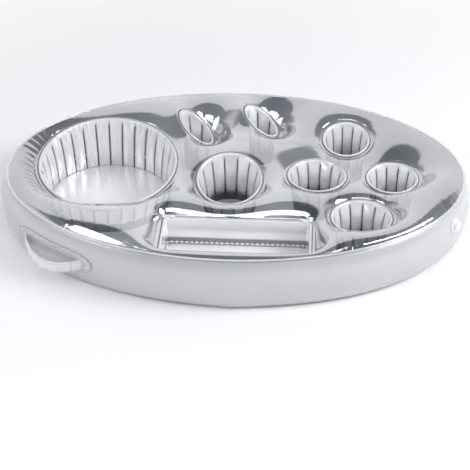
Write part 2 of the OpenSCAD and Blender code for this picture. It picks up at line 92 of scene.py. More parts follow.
class Socket:
    """A value in a node tree that Python's operators work on."""

    def __init__(self, tree: "Tree", link: bpy.types.NodeSocket | None) -> None:
        """Wraps a node's output."""
        self.tree = tree
        self.link = link

    def _math(self, kind: str, left: object, right: object, clamp: bool = False) -> "Socket":
        """One Math node on two values or sockets."""
        settings = {"operation": kind, "use_clamp": clamp}
        return self.tree.node("ShaderNodeMath", settings, {0: left, 1: right})

    def __add__(self, other: object) -> "Socket":
        """Sum."""
        return self._math("ADD", self, other)

    __radd__ = __add__

    def __sub__(self, other: object) -> "Socket":
        """Difference."""
        return self._math("SUBTRACT", self, other)

    def __rsub__(self, other: object) -> "Socket":
        """Difference with a number on the left."""
        return self._math("SUBTRACT", other, self)

    def __mul__(self, other: object) -> "Socket":
        """Product."""
        return self._math("MULTIPLY", self, other)

    __rmul__ = __mul__

    def __truediv__(self, other: object) -> "Socket":
        """Quotient."""
        return self._math("DIVIDE", self, other)

    def __pow__(self, other: object) -> "Socket":
        """Power."""
        return self._math("POWER", self, other)

    def larger(self, other: object) -> "Socket":
        """The larger of two values."""
        return self._math("MAXIMUM", self, other)

    def clamped(self) -> "Socket":
        """The value held between 0 and 1."""
        return self._math("ADD", self, 0.0, clamp=True)


class Tree:
    """The node tree of one material or of the surroundings."""

    def __init__(self, owner: bpy.types.Material | bpy.types.World) -> None:
        """Empties the owner's node tree.

        Args:
            owner: What the tree belongs to.
        """
        self.owner = owner
        owner.use_nodes = True
        self.tree = owner.node_tree
        self.tree.nodes.clear()

    @classmethod
    def material(cls, name: str) -> "Tree":
        """The tree of a new material."""
        return cls(bpy.data.materials.new(name))

    def node(
        self,
        kind: str,
        settings: dict[str, object] | None = None,
        inputs: dict[int | str, object] | None = None,
        out: int | str = 0,
    ) -> Socket:
        """Adds a node, sets it and feeds it.

        Args:
            kind: The node's type.
            settings: Its own settings; "stops" gives a ramp's places and greys.
            inputs: Values or links by socket.
            out: Which output to return.

        Returns:
            The chosen output, empty where the node has none.
        """
        made = self.tree.nodes.new(kind)
        for key, value in (settings or {}).items():
            if key == "stops":
                elements = made.color_ramp.elements
                while len(elements) > 1:
                    elements.remove(elements[-1])
                for i, (place, grey) in enumerate(value):
                    stop = elements[0] if i == 0 else elements.new(place)
                    stop.position = place
                    stop.color = (grey, grey, grey, 1.0)
            else:
                setattr(made, key, value)
        for key, value in (inputs or {}).items():
            if isinstance(value, Socket):
                self.tree.links.new(value.link, made.inputs[key])
            else:
                made.inputs[key].default_value = value
        return Socket(self, made.outputs[out] if made.outputs else None)

    def mix(self, factor: object, low: object, high: object) -> Socket:
        """Blends two colours, by the share of the second."""
        return self.node("ShaderNodeMix", {"data_type": "RGBA"}, {0: factor, 6: low, 7: high}, 2)

    def ramp(self, stops: Stops, value: Socket) -> Socket:
        """A grey for a value, from a ramp's stops."""
        return self.node("ShaderNodeValToRGB", {"stops": stops}, {0: value})

    def place(self) -> Socket:
        """Where a point lies on the object, in metres."""
        return self.node("ShaderNodeTexCoord", out="Object")

    def noise(self, scale: float, detail: float) -> Socket:
        """Noise round 0.5, from its features per metre and its octaves."""
        inputs = {"Vector": self.place(), "Scale": scale, "Detail": detail}
        return self.node("ShaderNodeTexNoise", None, inputs)

    def mask(self, name: str) -> Socket:
        """The value of a mask that the mesh carries."""
        return self.node("ShaderNodeAttribute", {"attribute_name": name}, out="Fac")

    def bump(self, height: Socket, depth: float, strength: float) -> Socket:
        """A bent normal, from a height whose 1 is the depth in metres."""
        inputs = {"Strength": strength, "Distance": depth, "Height": height}
        return self.node("ShaderNodeBump", None, inputs)

    def finish(self, surface: Socket) -> bpy.types.Material | bpy.types.World:
        """Joins a shader to the output.

        Args:
            surface: The shader.

        Returns:
            The material or world that the tree belongs to.
        """
        kind = "World" if isinstance(self.owner, bpy.types.World) else "Material"
        self.node(f"ShaderNodeOutput{kind}", None, {"Surface": surface})
        return self.owner


def rgba(tone: Tone, share: float = 1.0) -> tuple[float, ...]:
    """A colour times a share, with full alpha."""
    return (*(min(1.0, share * v) for v in tone), 1.0)


# Finishes


@dataclass(frozen=True)
class SilverVinyl:
    """Satin silver sheet, softly mottled, with painted shade where its mask is high.

    A noise is given as its features per metre and its octaves.
    """

    name: str
    slot: str
    tone: Tone
    metallic: float
    roughness: float
    uneven: float = 0.1
    # The near-black tone of painted shade, and the roughness it adds
    painted_shade_tone: Tone = (0.025, 0.027, 0.032)
    painted_shade_rough: float = 0.15
    darkest: float = 0.93
    lightest: float = 1.05
    clouds: tuple[float, float] = (14.0, 4.0)
    folds: tuple[float, float] = (60.0, 3.0)
    fold_height: float = 0.8
    grain: tuple[float, float] = (900.0, 2.0)
    grain_height: float = 0.06
    crinkle: float = 0.0004
    crinkle_share: float = 0.5
    coat: float = 0.35
    coat_rough: float = 0.12

    def build(self) -> bpy.types.Material:
        """Makes the material.

        Returns:
            The material.
        """
        tree = Tree.material(self.name)
        cloud = tree.noise(*self.clouds)
        # Painted shade: the mask darkens creases, depths, the outside of the wells and the band's
        # foot and seam lip
        painted_shade = tree.mask("painted_shade")
        sheet = tree.mix(cloud, rgba(self.tone, self.darkest), rgba(self.tone, self.lightest))
        folds, grain = tree.noise(*self.folds), tree.noise(*self.grain)
        height = folds * self.fold_height + grain * self.grain_height
        rough = self.roughness - self.uneven / 2 + self.uneven * cloud
        return tree.finish(tree.node("ShaderNodeBsdfPrincipled", None, {
            "Base Color": tree.mix(painted_shade.clamped(), sheet, rgba(self.painted_shade_tone)),
            "Metallic": (self.metallic * (1.0 - painted_shade)).clamped(),
            "Roughness": rough + self.painted_shade_rough * painted_shade,
            "Coat Weight": self.coat,
            "Coat Roughness": self.coat_rough,
            "Normal": tree.bump(height, self.crinkle, self.crinkle_share),
        }))


@dataclass(frozen=True)
class ClearVinyl:
    """Clear sheet or moulding: mostly seen through, glossy, milky at welds.

    The cover is how much of the sheet itself shows. It grows with the gloss
    where the sheet is seen at a slant, and shrinks for the light that falls in.
    """

    name: str
    slot: str
    tone: Tone
    cover: float
    gloss: float
    slant_gloss: float = 0.9
    slant_power: float = 3.4
    body: float = 0.0
    milk: float = 0.45
    milky: Tone = (0.93, 0.94, 0.95)
    line_cover: float = 0.8
    line_tone: Tone = (0.33, 0.34, 0.34)
    behind: Tone = (0.985, 0.99, 0.995)
    lets_in: float = 0.7
    ripples: tuple[float, float] = (24.0, 2.0)
    scuffs: tuple[float, float] = (180.0, 4.0)
    scuff: float = 0.03
    roughness: float = 0.05
    scuff_rough: float = 0.06
    weld_rough: float = 0.2
    crinkle: float = 0.0004
    crinkle_share: float = 0.6
    specular: float = 0.8
    coat: float = 0.5
    coat_rough: float = 0.03

    def build(self) -> bpy.types.Material:
        """Makes the material.

        Returns:
            The material.
        """
        tree = Tree.material(self.name)
        weld, line = tree.mask("weld"), tree.mask("line")
        ripple, scuff = tree.noise(*self.ripples), tree.noise(*self.scuffs)
        facing = tree.node("ShaderNodeLayerWeight", None, {"Blend": 0.5}, out="Facing")
        shadow = tree.node("ShaderNodeLightPath", out="Is Shadow Ray")
        mirror = self.gloss + (self.slant_gloss - self.gloss) * facing**self.slant_power
        cover = self.cover + mirror + self.milk * weld + self.scuff * scuff
        cover = (cover + self.line_cover * line) * (1.0 - self.lets_in * shadow)
        tone = tree.mix(weld, rgba(self.tone), rgba(self.milky))
        body = tree.node("ShaderNodeBsdfPrincipled", None, {
            "Base Color": tree.mix(line, tone, rgba(self.line_tone)),
            "Metallic": (1.0 - self.body - weld - line).clamped(),
            "Roughness": self.roughness + self.scuff_rough * scuff + self.weld_rough * weld,
            "Specular IOR Level": self.specular,
            "Coat Weight": self.coat,
            "Coat Roughness": self.coat_rough,
            "Normal": tree.bump(ripple + scuff * self.scuff, self.crinkle, self.crinkle_share),
        })
        clear = tree.node("ShaderNodeBsdfTransparent", None, {"Color": rgba(self.behind)})
        inputs = {0: cover.clamped(), 1: clear, 2: body}
        return tree.finish(tree.node("ShaderNodeMixShader", None, inputs))


class Finish(Enum):
    """The finishes that pieces may have."""

    BAND = SilverVinyl("silver_band", "silver_band", (0.64, 0.64, 0.66), 0.3, 0.34)
    SHEET = SilverVinyl("silver_sheet", "silver_sheet", (0.88, 0.885, 0.9), 0.45, 0.3)
    WELL = SilverVinyl("well_sheet", "silver_sheet", (0.93, 0.935, 0.945), 0.35, 0.2)
    # Painted light: the tray floor is a paler, less metallic copy of the silver sheet, to look lit
    # though it lies in the tray's shade
    TRAY_FLOOR = SilverVinyl("tray_floor", "silver_sheet", (0.96, 0.965, 0.97), 0.1, 0.25)
    FILM = ClearVinyl("clear_film", "clear_film", (0.95, 0.955, 0.965), 0.02, 0.26)
    MOULDED = ClearVinyl("clear_vinyl", "clear_vinyl", (0.97, 0.968, 0.945), 0.5, 0.08, body=0.9)
    PATCH = ClearVinyl("clear_patch", "clear_vinyl", (0.9, 0.905, 0.9), 0.06, 0.06, body=0.5,
                       milk=0.25)
    WELD = ClearVinyl("clear_weld", "clear_film", (0.9, 0.91, 0.93), 0.3, 0.1, body=0.6)


# Pieces


@cache
def material(finish: Finish) -> bpy.types.Material:
    """The material of a finish, made once."""
    return finish.value.build()


def piece(name: str, shape: Shape, finish: Finish, masks: dict[str, Amount],
          *replaces: str) -> None:
    """Makes one finished piece that rides on the float.

    Args:
        name: The piece's name.
        shape: Its vertices in millimetres, and its faces.
        finish: Its finish.
        masks: What the material reads: one value, or one for each vertex.
        *replaces: CAD nodes that it stands for.
    """
    points, faces = shape
    mesh = bpy.data.meshes.new(name)
    mesh.from_pydata((points * MM).tolist(), [], faces)
    mesh.validate()
    mesh.polygons.foreach_set("use_smooth", [True] * len(mesh.polygons))
    for key, values in masks.items():
        layer = mesh.attributes.new(key, "FLOAT", "POINT")
        layer.data.foreach_set("value", np.resize(np.asarray(values, np.float32), len(points)))
    mesh.update()
    made = bpy.data.objects.new(name, mesh)
    bpy.context.scene.collection.objects.link(made)
    mesh.materials.append(material(finish))
    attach(made, "root")
    if replaces:
        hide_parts(*replaces)
    LOG.info("%s: %d vertices, %d faces", name, len(mesh.vertices), len(mesh.polygons))


def dress(node: bpy.types.Object, finish: Finish) -> None:
    """Gives a CAD node that keeps its shape a better material.

    Args:
        node: The node's object.
        finish: Its finish.
    """
    node.data.materials.clear()
    node.data.materials.append(material(finish))
    LOG.info("%s: keeps its shape", node.name)


# Rows of points and their faces


def turns(count: int) -> Array:
    """Evenly spaced angles of one whole turn."""
    return np.linspace(0, 2 * math.pi, count, endpoint=False)


def strips(index: Array) -> Array:
    """Quads between rows of points that each close on themselves.

    Args:
        index: The points' numbers, row by row.

    Returns:
        The faces, facing out when a row runs counter-clockwise seen from the
        side that the rows advance from.
    """
    low, high = index[:-1], index[1:]
    return np.stack([low, high, np.roll(high, -1, 1), np.roll(low, -1, 1)], -1).reshape(-1, 4)


def looped(rows: Sequence[Array]) -> Shape:
    """A closed sheet whose last row joins the first.

    Args:
        rows: Rows of points that each close on themselves.

    Returns:
        Vertices and faces.
    """
    points = np.array(rows).reshape(-1, 3)
    index = np.arange(len(points)).reshape(len(rows), -1)
    return points, strips(np.vstack([index, index[:1]])).tolist()


def capped(rings: Array) -> Shape:
    """A closed loft with a fan over each end.

    Args:
        rings: Points as rows of rings.

    Returns:
        Vertices, the middles of both ends last, and faces.
    """
    points = np.vstack([rings.reshape(-1, 3), rings[0].mean(0), rings[-1].mean(0)])
    index = np.arange(len(points) - 2).reshape(len(rings), -1)
    faces = strips(index).tolist()
    for i, j, k, m in zip(index[0], np.roll(index[0], -1), np.roll(index[-1], -1), index[-1]):
        faces += [[len(points) - 2, i, j], [len(points) - 1, k, m]]
    return points, faces


def bead(centre: Array, size: Array, across: Array, tall: float = 1.0) -> Shape:
    """A bead that runs along a closed path.

    Args:
        centre: The path's points.
        size: The bead's radius at each.
        across: Level directions across the path.
        tall: Height as a share of the width.

    Returns:
        Vertices and faces.
    """
    wide = size[:, None]
    return looped([centre + wide * math.cos(t) * across + tall * wide * math.sin(t) * UP
                   for t in turns(BEAD_SIDES)])


def oval(off: Amount, phi: Array, z: Amount) -> Array:
    """Points round the seam's oval, moved out and at a height."""
    return np.stack([(SEAM_A + off) * np.cos(phi), (SEAM_B + off) * np.sin(phi), z + 0 * phi], -1)


def oval_hits(start: Array, way: Array, size: Array) -> tuple[float, float]:
    """Where a line meets an oval round the origin.

    Args:
        start: A point of the line, in plan.
        way: Its direction.
        size: The oval's half axes.

    Returns:
        How far along it meets, the further place first.
    """
    o, d = start / size, way / size
    k2, k1, k0 = d @ d, 2 * o @ d, o @ o - 1
    root = math.sqrt(k1 * k1 - 4 * k2 * k0)
    return (-k1 + root) / (2 * k2), (-k1 - root) / (2 * k2)


# Curves that shape the sheets and their masks


def wave(angle: Array, counts: Sequence[float], seed: int) -> Array:
    """An uneven ripple round a rim: a few sines of near counts, summed.

    Args:
        angle: Angles in radians.
        counts: Numbers of waves in a turn.
        seed: Picks the phases.

    Returns:
        Values mostly between -1 and 1.
    """
    phases = np.random.default_rng(seed).uniform(0, 2 * math.pi, len(counts))
    return sum(np.sin(c * angle + p) for c, p in zip(counts, phases)) / math.sqrt(len(counts))


def smooth(value: Amount) -> Amount:
    """Smoothstep of a value held between 0 and 1."""
    held = np.clip(value, 0.0, 1.0)
    return held * held * (3.0 - 2.0 * held)


def squared(value: Array, power: float) -> Array:
    """A sine or cosine that stays longer near its ends, the smaller the power."""
    return np.sign(value) * np.abs(value) ** power


def grown(far: Amount, over: float) -> Amount:
    """0 at an edge and near 1 further from it than a length."""
    return 1 - np.exp(-far / over)


def on_side(turn: Array, at: float) -> Array:
    """1 on the side of an angle in degrees, 0 opposite."""
    return smooth(0.5 + 0.5 * np.cos(turn - math.radians(at)))


@dataclass(frozen=True)
class Rise:
    """A height that starts at an edge, over one length, and fades over another."""

    height: float
    start: float
    fade: float

    def at(self, far: Amount) -> Amount:
        """Its height at a distance from the edge."""
        return self.height * grown(far, self.start) * np.exp(-far / self.fade)


@dataclass(frozen=True)
class Hump:
    """A height at one value, gone on both sides of it."""

    height: float
    middle: float
    width: float

    def at(self, value: Amount) -> Amount:
        """Its height at a value."""
        return self.height * np.exp(-(((value - self.middle) / self.width) ** 2))


@dataclass(frozen=True)
class Change:
    """A smooth change from 0 to 1, from a start and over a length."""

    start: float
    over: float

    def at(self, value: Amount) -> Amount:
        """How far the change has come at a value."""
        return smooth((value - self.start) / self.over)


# The float's own sheets


@dataclass
class SideBand:
    """The silver wall that bulges outwards between the seam and the foot."""

    around: int = 432
    rows: int = 44
    foot_lip: float = 7.0
    seam_puckers: Rise = Rise(0.55, 2.0, 11.0)
    foot_puckers: Rise = Rise(0.55, 2.0, 9.0)
    slack: float = 1.1
    keel: float = 4.5
    keel_x: float = 9.0
    keel_width: float = 42.0
    keel_top: float = 78.0
    keel_fade: float = 60.0
    keel_foot: float = 6.0
    # Painted shade: a thin dark line in the corner under the seam lip, and a dark band at the foot
    # where the band meets the floor
    seam_lip_shade: float = 0.25
    seam_lip_shade_drop: float = 2.5
    seam_lip_shade_width: float = 1.5
    foot_contact_shade: float = 0.3
    foot_contact_shade_height: float = 2.0

    def offset(self, z: float) -> float:
        """How far the plain band stands out from the seam at a height."""
        share = (z - SECTION_Z) / SECTION_H
        return SECTION_W * math.sqrt(1 - share * share) - TUCK

    def relief(self, phi: Array, z: float) -> Array:
        """Puckers at the seam and foot, slack swells and the pinch at the front.

        Args:
            phi: Angles round the oval.
            z: Height of the row.

        Returns:
            How far each point moves out.
        """
        low = smooth((self.keel_top - z) / self.keel_fade) * smooth(z / self.keel_foot)
        pinch = np.exp(-np.abs(SEAM_A * np.cos(phi) - self.keel_x) / self.keel_width)
        return (
            self.seam_puckers.at(SEAM_H - z) * wave(phi, (97, 131, 163), 3)
            + self.foot_puckers.at(z) * wave(phi, (83, 113), 4)
            + self.slack * math.sin(math.pi * z / SEAM_H) * wave(phi, (3, 5, 8), 5)
            + self.keel * pinch * (np.sin(phi) < 0) * low
        )

    def ring(self, off: float, z: float, moved: bool = False) -> Array:
        """One row of the band.

        Args:
            off: Offset from the seam.
            z: Height.
            moved: Whether the row takes the relief.

        Returns:
            Points.
        """
        phi = turns(self.around)
        return oval(off + (self.relief(phi, z) if moved else 0.0), phi, z)

    def build(self) -> None:
        """Makes the band as a closed thin sheet."""
        angles = np.linspace(math.acos(TUCK / SECTION_W), -math.pi / 2, self.rows)
        outer = [(SECTION_W * math.cos(t) - TUCK, SECTION_Z + SECTION_H * math.sin(t))
                 for t in angles]
        foot = -TUCK - self.foot_lip
        rows = [self.ring(LIP, SEAM_H), self.ring(LIP, SEAM_H - SHEET)]
        rows += [self.ring(off, z, True) for off, z in outer]
        rows += [self.ring(foot, SHEET), self.ring(foot, 2 * SHEET)]
        rows += [self.ring(off - SHEET, max(z, 2 * SHEET), True) for off, z in outer[:0:-1]]
        rows.append(self.ring(-SHEET, SEAM_H))
        # Painted shade under the seam lip and at the floor contact
        high = np.array(rows)[..., 2]
        from_lip_shade = np.abs(high - SEAM_H + self.seam_lip_shade_drop)
        painted_shade = self.seam_lip_shade * np.exp(-from_lip_shade / self.seam_lip_shade_width)
        painted_shade += self.foot_contact_shade * np.exp(-high / self.foot_contact_shade_height)
        piece("side_band_sheet", looped(rows), Finish.BAND, {"painted_shade": painted_shade}, "side_band")


@dataclass(frozen=True)
class Well:
    """A round well: its place, rim and pleats, and the film's folds round it.

    The film rises behind the rim by the share in lift, only on one side where
    lift_at gives that side in degrees, and sinks by ease on the side of ease_at.
    """

    name: str
    x: float
    y: float
    radius: float
    rim: float
    slope_x: float = 0.0
    slope_y: float = 0.0
    pleats: int = 12
    phase: float = 0.0
    swell: float = 5.0
    taper: float = 0.2
    fine: float = 0.06
    fine_count: int = 36
    lift: float = 0.5
    lift_at: float | None = None
    ease: float = 0.0
    ease_at: float = 0.0

    def rim_z(self, dx: Array, dy: Array) -> Array:
        """Height of the rim's plane over an offset from the centre."""
        return self.rim + self.slope_x * dx + self.slope_y * dy

    def row(self, radius: Amount, phi: Array, lift: float) -> Array:
        """Points round the well at a radius, lifted off the rim's plane."""
        x, y = radius * np.cos(phi), radius * np.sin(phi)
        return np.stack([self.x + x, self.y + y, self.rim_z(x, y) + lift], -1)

    def core(self, d: Array) -> Array:
        """What the rim runs round: the centre itself."""
        return np.zeros_like(d)

    @property
    def edge(self) -> float:
        """The rim's distance from its core."""
        return self.radius

    @property
    def power(self) -> float:
        """Power of the origin to the rim's circle."""
        return self.x**2 + self.y**2 - self.radius**2


@dataclass(frozen=True)
class TrayHole:
    """The tray's rounded rectangle, as a hole in the film."""

    x: float = 11.0
    y: float = -172.0
    length: float = 258.0
    width: float = 104.0
    corner: float = 11.0
    rim: float = 72.0

    def rim_z(self, dx: Array, dy: Array) -> Array:
        """Height of the rim, which is level."""
        return self.rim + 0.0 * dx

    def core(self, d: Array) -> Array:
        """The nearest point of the rectangle that the corner arcs centre on."""
        half = np.array([self.length / 2 - self.corner, self.width / 2 - self.corner])
        return np.clip(d, -half, half)

    @property
    def edge(self) -> float:
        """The rim's distance from its core."""
        return self.corner


Hole = Well | TrayHole
WELLS = (
    Well("a", -83.5, 170.5, 30, 85, -0.89, 0.17, 7, 20.0, 3.8, lift_at=135.0, ease=9.0,
         ease_at=20.0),
    Well("b", 40.5, 201.0, 30, 85, -0.76, 0.16, 7, 5.0, 3.8, lift_at=135.0, ease=8.0,
         ease_at=20.0),
    Well("c", 204.5, 151.0, 42, 80, 0.0, 0.24, 12, 10.0, 4.5, lift=1.0),
    Well("d", 289.0, 29.0, 45, 74, 0.0, 0.05, 12, 12.0, 4.5, ease=6.0, ease_at=80.0),
    Well("e", 231.0, -99.0, 52, 72, pleats=13, phase=3.0, ease=6.0, ease_at=100.0),
    Well("f", 150.5, 33.5, 52, 72, pleats=13, ease=7.0, ease_at=110.0),
    Well("g", -10.5, 7.5, 58, 76, 0.0, 0.3, 14, ease=7.0, ease_at=130.0),
)
BOWL = Well("bowl", -240.0, 46.0, 126.5, 80, 0.0, 0.13, 30, swell=6.0, taper=0.1, fine=4.0,
            fine_count=62, lift=0.0)
TRAY = TrayHole()
HOLES: tuple[Hole, ...] = (BOWL, *WELLS, TRAY)


@dataclass
class TopFilm:
    """The clear film: a membrane that air pushes up between rims and seam.

    The film is divided into one cell round each hole, along the radical axes
    of neighbouring rims, and each cell is meshed in rings round its hole.
    """

    step: float = 2.7
    gap: float = 1.4
    tray_gap: float = 3.2
    land: float = 8.0
    shares: tuple[float, ...] = (0.03, 0.08, 0.15, 0.24, 0.34, 0.45, 0.56, 0.67, 0.78, 0.88, 0.95)
    last_share: float = 0.975
    seam_clear: float = 1.0
    thickness: float = 0.6
    above: float = 0.05
    pressure: float = 0.0145
    first_guess: float = 90.0
    tries: int = 900
    tolerance: float = 1e-9
    seam_folds: Rise = Rise(0.2, 2.5, 10.0)
    well_folds: Rise = Rise(1.0, 2.5, 12.0)
    tray_folds: Rise = Rise(0.3, 3.0, 12.0)
    tray_fold_length: float = 9.0
    bowl_folds: Rise = Rise(-1.0, 3.0, 24.0)
    bowl_flat_at: float = 26.0
    bowl_flat: float = 0.1
    bowl_side: Change = Change(0.1, 0.6)
    bowl_uneven: float = 0.25
    bowl_sway: float = 0.4
    valley_power: float = 0.6
    crown: Rise = Rise(10.0, 14.0, 50.0)
    crown_behind: float = 0.1
    crown_front: Change = Change(-100.0, 200.0)
    shoulder: Rise = Rise(11.0, 38.0, 110.0)
    shoulder_right: Change = Change(150.0, 150.0)
    shoulder_front: Change = Change(-50.0, 90.0)
    tray_rise: Rise = Rise(26.0, 30.0, 60.0)
    tray_clear: float = 1.0
    rim_rise: float = 5.2
    rim_fade: float = 26.0
    rim_far_side: float = 0.15
    dip: Rise = Rise(1.0, 14.0, 50.0)
    rim_start: float = 8.0
    seam_start: float = 20.0
    others_start: float = 12.0
    rim_milk: float = 30.0
    seam_milk: Change = Change(0.988, 0.006)

    def radical_centre(self, p: Well, q: Well, r: Well) -> Array:
        """The point with the same power to three circles."""
        rows = np.array([[2 * (q.x - p.x), 2 * (q.y - p.y)], [2 * (r.x - p.x), 2 * (r.y - p.y)]])
        return np.linalg.solve(rows, np.array([q.power - p.power, r.power - p.power]))

    def axis_end(self, p: Well, q: Well) -> Array:
        """Where two circles' radical axis meets the outline, on their side.

        Args:
            p: First circle.
            q: Second circle.

        Returns:
            The point.
        """
        n = np.array([q.x - p.x, q.y - p.y])
        o = n * (q.power - p.power) / (2 * n @ n)
        d = np.array([-n[1], n[0]]) / np.linalg.norm(n)
        middle = np.array([p.x + q.x, p.y + q.y]) / 2
        return min((o + d * s for s in oval_hits(o, d, EDGE)),
                   key=lambda end: float(np.linalg.norm(end - middle)))

    def between(self, p: Array, q: Array, on_outline: bool) -> list[Array]:
        """Points that divide an edge of the cells.

        Args:
            p: Its start.
            q: Its end.
            on_outline: Whether it follows the outline.

        Returns:
            The points between both.
        """
        if not on_outline:
            parts = max(3, math.ceil(float(np.linalg.norm(q - p)) / self.step))
            return [p + (q - p) * k / parts for k in range(1, parts)]
        start, end = (math.atan2(v[1] / EDGE[1], v[0] / EDGE[0]) for v in (p, q))
        sweep = (end - start) % (2 * math.pi)
        parts = max(3, math.ceil(sweep * EDGE.mean() / self.step))
        angles = [start + sweep * k / parts for k in range(1, parts)]
        return [EDGE * [math.cos(t), math.sin(t)] for t in angles]

    def plan(self) -> tuple[Array, Array, list[list[int]]]:
        """Boundary points of all cells, and the loop of each cell.

        Returns:
            Points in plan, whether each is on the outline, and for each hole
            the indices of its cell's loop.
        """
        a, b, c, d, e, f, g = WELLS
        half, radius = TRAY.length / 2 - TRAY.width / 2, TRAY.width / 2
        left, right = (Well("", TRAY.x + s * half, TRAY.y, radius, 0) for s in (-1, 1))
        threes = (
            (BOWL, a, g), (a, b, g), (b, g, f), (b, c, f), (c, d, f), (d, e, f),
            (e, right, f), (right, f, g), (left, right, g), (left, g, BOWL),
        )
        twos = ((BOWL, a), (a, b), (b, c), (c, d), (d, e), (e, right), (left, BOWL))
        corners = [self.radical_centre(*t) for t in threes] + [self.axis_end(*t) for t in twos]
        # The corners that each hole's cell goes round
        cells = (
            (9, 0, 10, 16), (0, 1, 11, 10), (1, 2, 3, 12, 11), (3, 4, 13, 12), (4, 5, 14, 13),
            (5, 6, 15, 14), (7, 6, 5, 4, 3, 2), (9, 8, 7, 2, 1, 0), (9, 16, 15, 6, 7, 8),
        )
        points = list(corners)
        outline = [i >= len(threes) for i in range(len(corners))]
        runs: dict[tuple[int, int], list[int]] = {}
        loops: list[list[int]] = []
        for path in cells:
            loop: list[int] = []
            for start, end in zip(path, path[1:] + path[:1]):
                if (start, end) not in runs:
                    on_outline = outline[start] and outline[end]
                    inner = self.between(corners[start], corners[end], on_outline)
                    run = list(range(len(points), len(points) + len(inner)))
                    runs[start, end], runs[end, start] = run, run[::-1]
                    points += inner
                    outline += [on_outline] * len(inner)
                loop += [start, *runs[start, end]]
            loops.append(loop)
        return np.array(points), np.array(outline), loops

    def cell(self, hole: Hole, bound: Array, rim: Array) -> list[tuple[Array, Array, Array]]:
        """Rings of points from a hole out to its cell's boundary.

        Args:
            hole: The hole.
            bound: The boundary's points.
            rim: Which of them are on the outline.

        Returns:
            For each ring its points, their heights where they are welded and
            NaN elsewhere, and their distance from the hole's rim.
        """
        place = np.array([hole.x, hole.y])
        d = bound - place
        c = hole.core(d)
        reach = np.linalg.norm(d - c, axis=1)
        u = (d - c) / reach[:, None]
        inner = hole.edge + (self.tray_gap if hole is TRAY else self.gap)
        land = hole.edge + self.gap + self.land
        last = np.where(rim, reach - LIP - self.seam_clear, reach)
        radii = [np.full(len(bound), r) for r in (inner, (inner + land) / 2, land)]
        welded = len(radii)
        radii += [land + s * (last - land) for s in self.shares]
        radii.append(np.where(rim, last, land + self.last_share * (last - land)))
        rings = []
        for i, r in enumerate(radii):
            q = c + u * r[:, None]
            held = np.full(len(bound), np.nan)
            if i < welded:
                held = hole.rim_z(q[:, 0], q[:, 1])
            elif i == len(radii) - 1:
                held = np.where(rim, SEAM_H, np.nan)
            rings.append((place + q, held, r - hole.edge))
        return rings

    def build(self) -> None:
        """Meshes the film, lets it swell, and makes it a closed thin sheet."""
        bound, outline, loops = self.plan()
        size = len(bound)
        rings = [(bound, np.where(outline, SEAM_H, np.nan), np.full(size, np.inf),
                  np.full(size, -1))]
        parts: list[Array] = []
        edges: list[Array] = []
        for number, (hole, loop) in enumerate(zip(HOLES, loops)):
            made = self.cell(hole, bound[loop], outline[loop])
            rings += [(*ring, np.full(len(loop), number)) for ring in made]
            own = size + np.arange(len(made) * len(loop)).reshape(len(made), -1)
            size += own.size
            edges.append(own[0])
            parts.append(strips(np.vstack([own, loop])))
        plan, held, near, owner = (np.concatenate(part) for part in zip(*rings))
        quads = np.concatenate(parts)
        more = self.folds(plan, owner) + self.swells(plan)
        z = self.inflated(plan, held, quads) + np.where(np.isnan(held), more, 0.0)
        at_seam = self.seam_milk.at(np.hypot(*(plan / EDGE).T))
        weld = np.maximum(np.exp(-(near**2) / self.rim_milk), at_seam)
        points = [np.column_stack([plan, z + lift + self.above]) for lift in (self.thickness, 0.0)]
        faces: Faces = quads.tolist() + (quads[:, ::-1] + size).tolist()
        for ring in edges:
            after = np.roll(ring, -1)
            faces += np.stack([ring, after, after + size, ring + size], -1).tolist()
        for loop in loops:
            for i, j in zip(loop, loop[1:] + loop[:1]):
                if outline[i] and outline[j]:
                    faces.append([j, i, i + size, j + size])
        piece("clear_top_film", (np.vstack(points), faces), Finish.FILM, {"weld": weld}, "top_film")

    def inflated(self, plan: Array, held: Array, quads: Array) -> Array:
        """Solves the height of a membrane under even pressure.

        Args:
            plan: Points in plan.
            held: Heights of the points that are welded, NaN elsewhere.
            quads: Faces.

        Returns:
            Heights.
        """
        tris = np.vstack([quads[:, [0, 1, 2]], quads[:, [0, 2, 3]]])
        p = plan[tris]
        e = [p[:, 2] - p[:, 1], p[:, 0] - p[:, 2], p[:, 1] - p[:, 0]]
        area = np.abs(e[0][:, 0] * e[1][:, 1] - e[0][:, 1] * e[1][:, 0]) / 2 + self.tolerance
        rows, cols, values = [], [], []
        for i in range(3):
            j, k = (i + 1) % 3, (i + 2) % 3
            w = -np.sum(e[j] * e[k], 1) / (4 * area)
            rows += [tris[:, j], tris[:, k]]
            cols += [tris[:, k], tris[:, j]]
            values += [w, w]
        row, col, value = np.concatenate(rows), np.concatenate(cols), np.concatenate(values)
        size = len(plan)
        diagonal = np.bincount(row, value, size)
        load = self.pressure * np.bincount(tris.ravel(), np.repeat(area / 3, 3), size)
        free = np.isnan(held)
        z = np.where(free, self.first_guess, held)

        def pull(v: Array) -> Array:
            """The stiffness matrix times a vector, on free points."""
            return (diagonal * v - np.bincount(row, value * v[col], size)) * free

        scale = free / np.maximum(diagonal, self.tolerance)
        left = (load * free - pull(z)) * free
        ahead = scale * left
        way, dot = ahead.copy(), float(left @ ahead)
        for _ in range(self.tries):
            step = pull(way)
            alpha = dot / float(way @ step)
            z += alpha * way
            left -= alpha * step
            ahead = scale * left
            new = float(left @ ahead)
            if new < self.tolerance * size:
                break
            way, dot = ahead + new / dot * way, new
        return z

    def from_seam(self, plan: Array) -> Array:
        """About how far points in plan lie inside the seam."""
        share = np.hypot(plan[:, 0] / SEAM_A, plan[:, 1] / SEAM_B)
        return np.clip((1 - share) * SEAM_B, 0, None)

    def from_rim(self, hole: Hole, plan: Array) -> Array:
        """How far points in plan lie outside the flat land round a hole."""
        d = plan - [hole.x, hole.y]
        return np.linalg.norm(d - hole.core(d), axis=1) - hole.edge - self.gap - self.land

